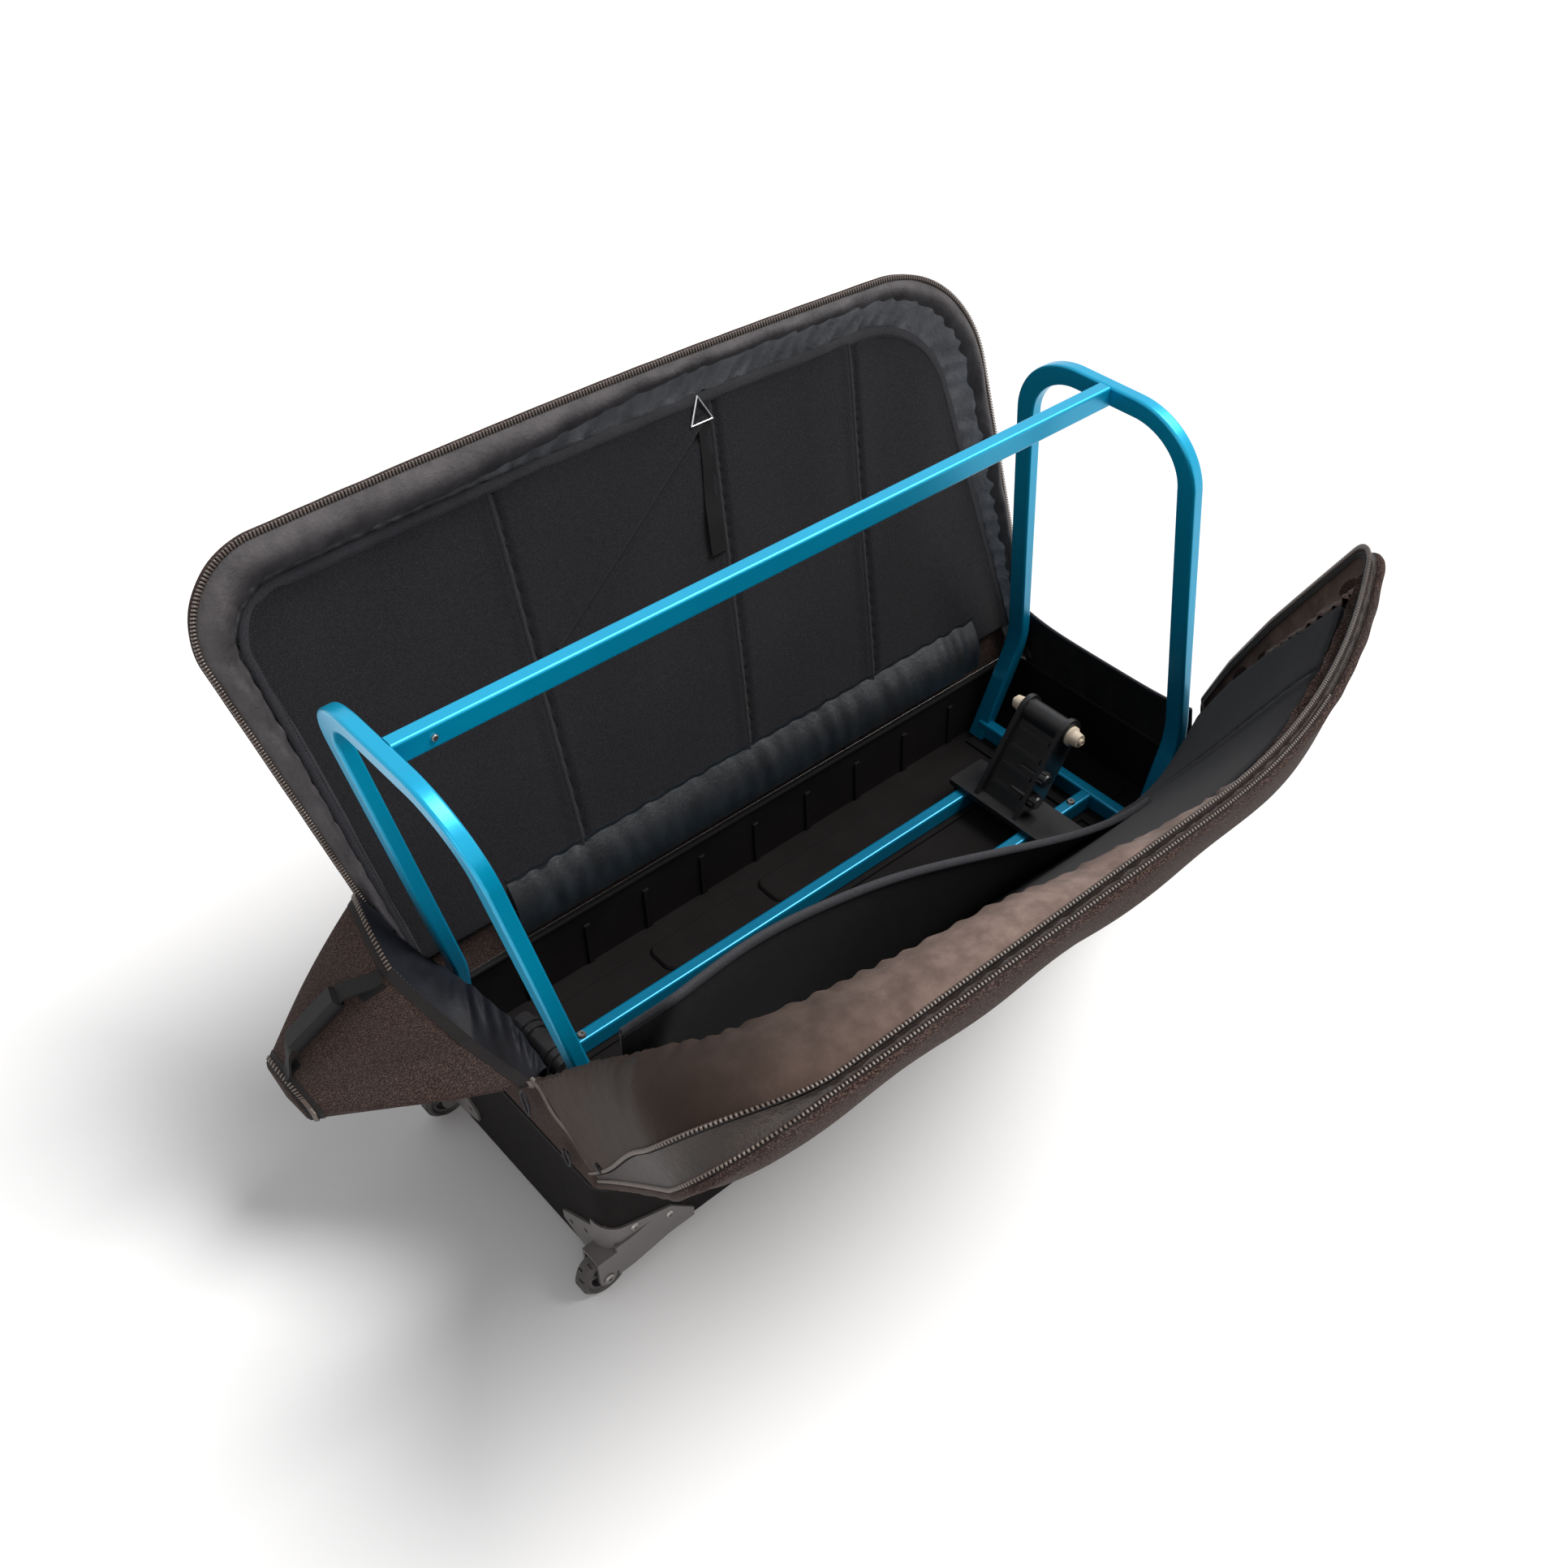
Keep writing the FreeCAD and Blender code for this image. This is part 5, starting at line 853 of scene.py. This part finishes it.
def endPlace(baseX, baseZ, lean, y, up, depth=0.0):
    lean = math.radians(lean)
    return (baseX + up * math.sin(lean) + depth * math.cos(lean), y,
            baseZ + up * math.cos(lean) - depth * math.sin(lean))


skirt = {"x": (-512.0, -556.0, -568.0, -575.0, -575.0), "y": (-198.5, -198.5, -196.0, -186.0, 58.0),
         "run": (0.0, 44.0, 57.0, 70.0, 314.0), "cloth": 1.8, "fold": 1.5, "inLean": 0.035, "zipOff": (-3.0, 0.0, 1.5),
         "piping": 2.2, "topRun": (0.0, 44.0, 70.0, 80.0, 106.0, 146.0, 174.0, 216.0, 314.0),
         "top": (24.0, 42.0, 56.0, 67.0, 83.0, 103.0, 113.0, 84.0, 13.0)}


def skirtForm(a, b):  # round the front corner and across the nose end
    run = skirt["run"][-1] * a
    up = np.interp(run, skirt["topRun"], skirt["top"]) * b
    x, y = (np.interp(run, skirt["run"], skirt[axis]) for axis in "xy")
    fold = skirt["fold"] * waves(91, run, up, 90.0, 80.0) * b * ease(run, 60.0, 30.0)
    return x - skirt["inLean"] * up + fold, y, ends["rim"] + up


tail = {"x": 567.0, "half": 166.0, "middle": 97.0, "corner": 12.0, "cloth": 1.6, "off": 3.0, "fold": 3.0, "belly": 4.0,
        "piping": 2.6}


def tailForm(a, b):
    y = -tail["half"] + 2.0 * tail["half"] * a
    up = (tail["middle"] + tail["corner"] * (np.abs(y) / tail["half"]) ** 4) * b
    fold = waves(95, y, up, 70.0, 200.0)
    depth = tail["off"] + (tail["fold"] * fold + tail["belly"]) * arch(b)
    return endPlace(tail["x"], ends["rim"], ends["tailLean"], y, up, depth)


noseSkirt = dress(sewn("noseSkirt", 80, 24, skirtForm, skirt["cloth"]), "shell", "base", "shell", "nose_skirt")
tailWall = dress(sewn("tailWall", 90, 30, tailForm, tail["cloth"]), "wall", "base", "border", "tail_wall")
ys = np.linspace(2.0 - tail["half"], tail["half"] - 2.0, 40)
tailEdge = rows(tailForm, (ys + tail["half"]) / (2.0 * tail["half"]), np.ones_like(ys))
dress(cordTube("tailPiping", tailEdge, tail["piping"]), "binding", "base", "border")
shares = np.linspace(0.01, 0.99, 60)
skirtEdge = rows(skirtForm, shares, np.ones_like(shares))
dress(cordTube("skirtPiping", skirtEdge, skirt["piping"]), "binding", "base", "shell")


# end flap, a hollow beak fallen open over the nose
beak = {"rootX": -588.0, "tipX": -784.0, "hingeZ": 190.0, "bulge": 9.0, "dent": 1.6, "cloth": 2.4, "shut": (0.94, 0.06),
        "root": ((60.0, 2.0, 0.0), (-86.0, 106.0, 26.0), (-62.0, 113.0, 21.0), (18.0, 108.0, 8.0),  # y, up, x shift
                 (115.5, 182.2, -19.6), (204.0, 238.0, 0.0), (204.0, 2.0, 0.0)),
        "tip": ((118.0, 14.0, 0.0), (118.0, 26.0, 0.0), (124.0, 31.0, 0.0), (136.0, 35.0, 0.0), (165.0, 40.0, 0.0),
                (212.0, 32.0, 0.0), (212.0, 14.0, 0.0))}


def loopPoint(corners, a):  # smooth closed loop through the corners
    corners = np.array(corners)
    count = len(corners)
    part = np.clip(a, 0.0, 1.0) * count
    start = np.floor(part).astype(int)
    t = (part - start)[:, None]
    p0, p1, p2, p3 = (corners[(start + k) % count] for k in (-1, 0, 1, 2))
    curved = 0.5 * (2 * p1 + (p2 - p0) * t + (2 * p0 - 5 * p1 + 4 * p2 - p3) * t ** 2
                    + (3 * p1 - p0 - 3 * p2 + p3) * t ** 3)
    return 0.45 * curved + 0.55 * (p1 + (p2 - p1) * t)


def beakForm(a, b):
    reach = np.clip(b / beak["shut"][0], 0.0, 1.0)
    shut = 1.0 - ease(b, *beak["shut"])
    loop = loopPoint(beak["root"], a) * (1.0 - reach)[:, None] + loopPoint(beak["tip"], a) * reach[:, None]
    middle = np.mean(beak["root"], axis=0) * (1.0 - reach)[:, None] + np.mean(beak["tip"], axis=0) * reach[:, None]
    shift = loop[:, 2]
    out = (loop - middle) * (1.0, 1.0, 0.0)
    dent = beak["bulge"] + beak["dent"] * waves(101, a * 700.0, reach * 200.0, 260.0, 150.0)
    dent = dent * arch(reach)
    loop = middle + out * shut[:, None] + unit(out) * (dent * shut)[:, None]
    up = np.clip(loop[:, 1], 2.0, None)
    x = beak["rootX"] + (beak["tipX"] - beak["rootX"]) * reach - 4.0 * (1.0 - shut) + shift
    return endPlace(x, beak["hingeZ"], ends["noseLean"], loop[:, 0], up)


dress(sewn("flapShell", 150, 60, beakForm, beak["cloth"], -1.0), "shell", "end_flap", "shell", "flap_shell")


hem = {"front": 60.0, "length": 136.0, "x": -592.0, "width": 16.5, "z": 191.2, "wave": 0.5}


def hemForm(a, b):
    y = hem["front"] + hem["length"] * b
    return hem["x"] + hem["width"] * a, y, hem["z"] + hem["wave"] * waves(103, y, a, 40.0, 3.0)


dress(sewn("flapHem", 6, 60, hemForm, 1.0), "binding", "end_flap", "shell", "flap_hem")


def beakRows(a, b):
    return rows(beakForm, a, b)


def beakOut(at, low, high):  # away from the beak's middle line
    middle = beakRows(np.array([0.1, 0.35, 0.6, 0.85]), np.full(4, (low + high) / 2.0)).mean(axis=0)
    return unit((at - middle) * np.array([0.0, 1.0, 1.0]))


inner = {"x": (-556.0, -556.0, -556.0, -562.0, -578.0), "y": (-78.0, -9.0, 90.0, 165.0, 206.0),
         "z": (300.0, 327.0, 306.0, 288.0, 300.0), "swell": 9.0, "fold": 2.5, "drop": 92.0, "inset": 4.0}


def liningSheet(a, b):  # from the flap's root edge over to the hoop, then down inside
    spots = np.linspace(0.0, 1.0, 5)
    outer = beakRows(1.0 / 7.0 + 4.0 / 7.0 * a, np.zeros_like(a))
    over = np.stack([np.interp(a, spots, inner[axis]) for axis in "xyz"], axis=1)
    across, down = np.clip(b / 0.6, 0.0, 1.0)[:, None], np.clip((b - 0.6) / 0.4, 0.0, 1.0)[:, None]
    at = outer + (over - outer) * across
    fold = inner["fold"] * waves(93, a * 360.0, b * 180.0, 60.0, 110.0) * arch(b)
    swell = inner["swell"] * arch(across[:, 0]) + fold
    return at[:, 0] - inner["inset"] * down[:, 0], at[:, 1], at[:, 2] + swell - inner["drop"] * down[:, 0]


noseLining = dress(sewn("noseLining", 90, 50, liningSheet, 1.0), "navy", "base", "border", "nose_lining")


def beakZip(name, depth, first, last, count):
    shares = np.linspace(first, last, count)
    depths = np.full_like(shares, depth)
    at, onward, deeper = (beakRows(shares + on, depths + down) for on, down in ((0, 0), (0.002, 0), (0, 0.01)))
    along, into = unit(onward - at), unit(deeper - at)
    out = unit(np.cross(along, into))
    out = out * np.sign(np.sum(out * (at - at.mean(axis=0)), axis=1, keepdims=True))
    teeth = copied(name, coil["tooth"], coil["bevel"], at + out * coil["lift"], list(zip(along, into, out)))
    dress(teeth, "coil", "end_flap", "zip")


def beakTape(name, low, high, first, last):
    def form(a, b):
        at = beakRows(first + (last - first) * b, low + (high - low) * a)
        return (at + beakOut(at, low, high) * 0.9).T
    dress(sewn(name, 5, 130, form, 0.8), "zipTape", "end_flap", "zip")


beakTape("flapRootTape", 0.0, 0.07, 0.12, 0.72)  # shares of the depth, then of the loop
beakZip("flapRootZip", 0.012, 0.13, 0.715, 98)
beakTape("flapTipTape", 0.86, 0.93, 0.02, 0.8)
beakZip("flapTipZip", 0.9, 0.03, 0.79, 40)


# carry handle: webbing arched over the beak's ridge
handle = {"root": (110.0, 198.0), "tip": (165.0, 40.0), "shares": (0.16, 0.93), "lift": 27.0, "width": 26.0,
          "clear": 8.0, "ramp": 0.17, "thickness": 3.0}
ridgeStart, ridgeEnd = (np.array(endPlace(beak[end + "X"], beak["hingeZ"], ends["noseLean"], *handle[end]))
                        for end in ("root", "tip"))
ridgeReach = np.linalg.norm(ridgeEnd - ridgeStart)
ridgeAlong = (ridgeEnd - ridgeStart) / ridgeReach
ridgeAcross = np.cross(ridgeAlong, (0.0, 0.0, 1.0))
ridgeAcross = ridgeAcross / np.linalg.norm(ridgeAcross)
ridgeUp = np.cross(ridgeAcross, ridgeAlong)


def handleForm(a, b):
    share = handle["shares"][0] + (handle["shares"][1] - handle["shares"][0]) * b
    rise = ease(b / (handle["ramp"] * 1.5)) * ease((1.0 - b) / (handle["ramp"] * 1.5))
    at = ridgeStart + ridgeAlong * (ridgeReach * share)[:, None]
    at = at + ridgeUp * (handle["clear"] + handle["lift"] * rise)[:, None]
    return (at + ridgeAcross * (handle["width"] * (a - 0.5))[:, None]).T


dress(sewn("handleStrap", 6, 90, handleForm, handle["thickness"]),
      "webbing", "carry_handle", "webbing", "handle_strap")


def patchForm(low, high):  # sewn-down end of the handle's webbing
    def form(a, b):
        at = beakRows(4.0 / 7.0 + (a - 0.5) * 0.034, low + (high - low) * b)
        return (at + beakOut(at, low, high) * 1.6).T
    return form


for name, low, high in (("handlePatchUpper", 0.1, 0.26), ("handlePatchLower", 0.78, 0.88)):
    dress(sewn(name, 8, 16, patchForm(low, high), 1.8), "webbing", "end_flap", "webbing")


loop = {"radius": 1.9, "wide": 7.0, "pinch": 0.35, "off": 5.0, "sway": 3.0}


def pullCord(name, x, y, z, reach, turn):  # cord loop on a zip slider at the nose corner
    angle = np.linspace(-2.85, 2.85, 22)
    wide = loop["wide"] * np.sin(angle) * (1.0 - loop["pinch"] * np.cos(angle))
    long = reach * (0.5 - 0.5 * np.cos(angle - math.pi))
    points = np.stack((x - loop["off"] - loop["sway"] * np.sin(angle * 0.5) ** 2, y + wide * math.cos(turn),
                       z - long + wide * math.sin(turn)), axis=1)
    dress(cordTube(name, points, loop["radius"]), "binding", "base", "shell")


shares = np.linspace(0.04, 0.55, 76)  # zip along the skirt's top edge
at, onward = rows(skirtForm, shares, np.ones_like(shares)), rows(skirtForm, shares + 0.002, np.ones_like(shares))
along = unit(onward - at)
outward = np.tile((-0.97, 0.0, 0.25), (len(at), 1))
axes = list(zip(along, unit(np.cross(outward, along)), outward))
dress(copied("skirtZip", coil["tooth"], coil["bevel"], at + skirt["zipOff"], axes), "coil", "base", "zip")
pullCord("flapPullCord", -588.0, -84.0, 292.0, 46.0, 0.2)
pullCord("skirtPullCord", -580.0, -150.0, 240.0, 34.0, -0.4)
print("ends, flap and handle sewn")

# camera, floor and light
studio = {"camera": (-1.1357, -1.1660, 1.8518), "tilt": 47.63, "turn": -41.3, "lens": 37.25, "sensor": 36.0,
          "floorSize": 24.0, "floorZ": -0.024, "floorTones": ((0.86, 0.86, 0.86), (0.88, 0.88, 0.88)),
          "sun": (1.7, -0.9, 3.0), "sunRun": 1.92, "sunPower": 3.6, "sunAngle": 32.0, "sunColour": (1.0, 0.985, 0.965),
          "fill": (-2.4, -1.8, 1.6), "fillAim": (0.0, 0.0, 0.3), "fillSize": 1.6, "fillPower": 12.0,
          "fillColour": (1.0, 0.93, 0.88), "ambient": 0.42, "sky": (0.96, 0.97, 1.0)}
deselect()
bpy.ops.object.camera_add(location=studio["camera"],
                          rotation=(math.radians(studio["tilt"]), 0.0, math.radians(studio["turn"])))
camera = bpy.context.object
camera.data.lens, camera.data.sensor_width = studio["lens"], studio["sensor"]
bpy.context.scene.camera = camera
bpy.ops.mesh.primitive_plane_add(size=studio["floorSize"], location=(0.0, 0.0, studio["floorZ"]))
floor = bpy.context.object
floor.name = "floor"
floorLook = Finish("floorPaint", Roughness=0.9, Specular_IOR_Level=0.1)
floorLook.feed(Base_Color=floorLook.mix(floorLook.noise(2.0), *(rgba(tone) for tone in studio["floorTones"])))
floor.data.materials.append(floorLook.material)

bpy.ops.object.light_add(type="SUN", location=studio["sun"])
sun = bpy.context.object
sun.name = "keyLight"
sun.data.energy, sun.data.color = studio["sunPower"], studio["sunColour"]
sun.data.angle = math.radians(studio["sunAngle"])
sunX, sunY, sunZ = studio["sun"]
sun.rotation_euler = (math.atan2(studio["sunRun"], sunZ), 0.0, math.atan2(-sunY, -sunX) - math.pi / 2.0)
bpy.ops.object.light_add(type="AREA", location=studio["fill"])
fill = bpy.context.object
fill.name = "leftFill"
fill.data.size, fill.data.energy, fill.data.color = studio["fillSize"], studio["fillPower"], studio["fillColour"]
away = np.array(studio["fillAim"]) - np.array(studio["fill"])
fill.rotation_euler = (math.atan2(math.hypot(away[0], away[1]), -away[2]), 0.0,
                       math.atan2(away[1], away[0]) - math.pi / 2.0)

world = bpy.data.worlds.new("studio")
bpy.context.scene.world = world
world.use_nodes = True
nodes = world.node_tree.nodes
nodes.clear()
path, mixer, out = (nodes.new("ShaderNode" + kind) for kind in ("LightPath", "MixShader", "OutputWorld"))
soft, seen = nodes.new("ShaderNodeBackground"), nodes.new("ShaderNodeBackground")
soft.inputs["Color"].default_value, soft.inputs["Strength"].default_value = rgba(studio["sky"]), studio["ambient"]
seen.inputs["Color"].default_value = rgba((1.0, 1.0, 1.0))
either, shown = nodes.new("ShaderNodeMath"), nodes.new("ShaderNodeMath")
either.operation = shown.operation = "MAXIMUM"
for start, end in ((path.outputs["Is Camera Ray"], either.inputs[0]), (path.outputs["Is Glossy Ray"], either.inputs[1]),
                   (either.outputs[0], shown.inputs[0]), (path.outputs["Is Transmission Ray"], shown.inputs[1]),
                   (shown.outputs[0], mixer.inputs[0]), (soft.outputs[0], mixer.inputs[1]),
                   (seen.outputs[0], mixer.inputs[2]), (mixer.outputs[0], out.inputs[0])):
    world.node_tree.links.new(start, end)
bpy.context.scene.view_settings.view_transform = "Standard"
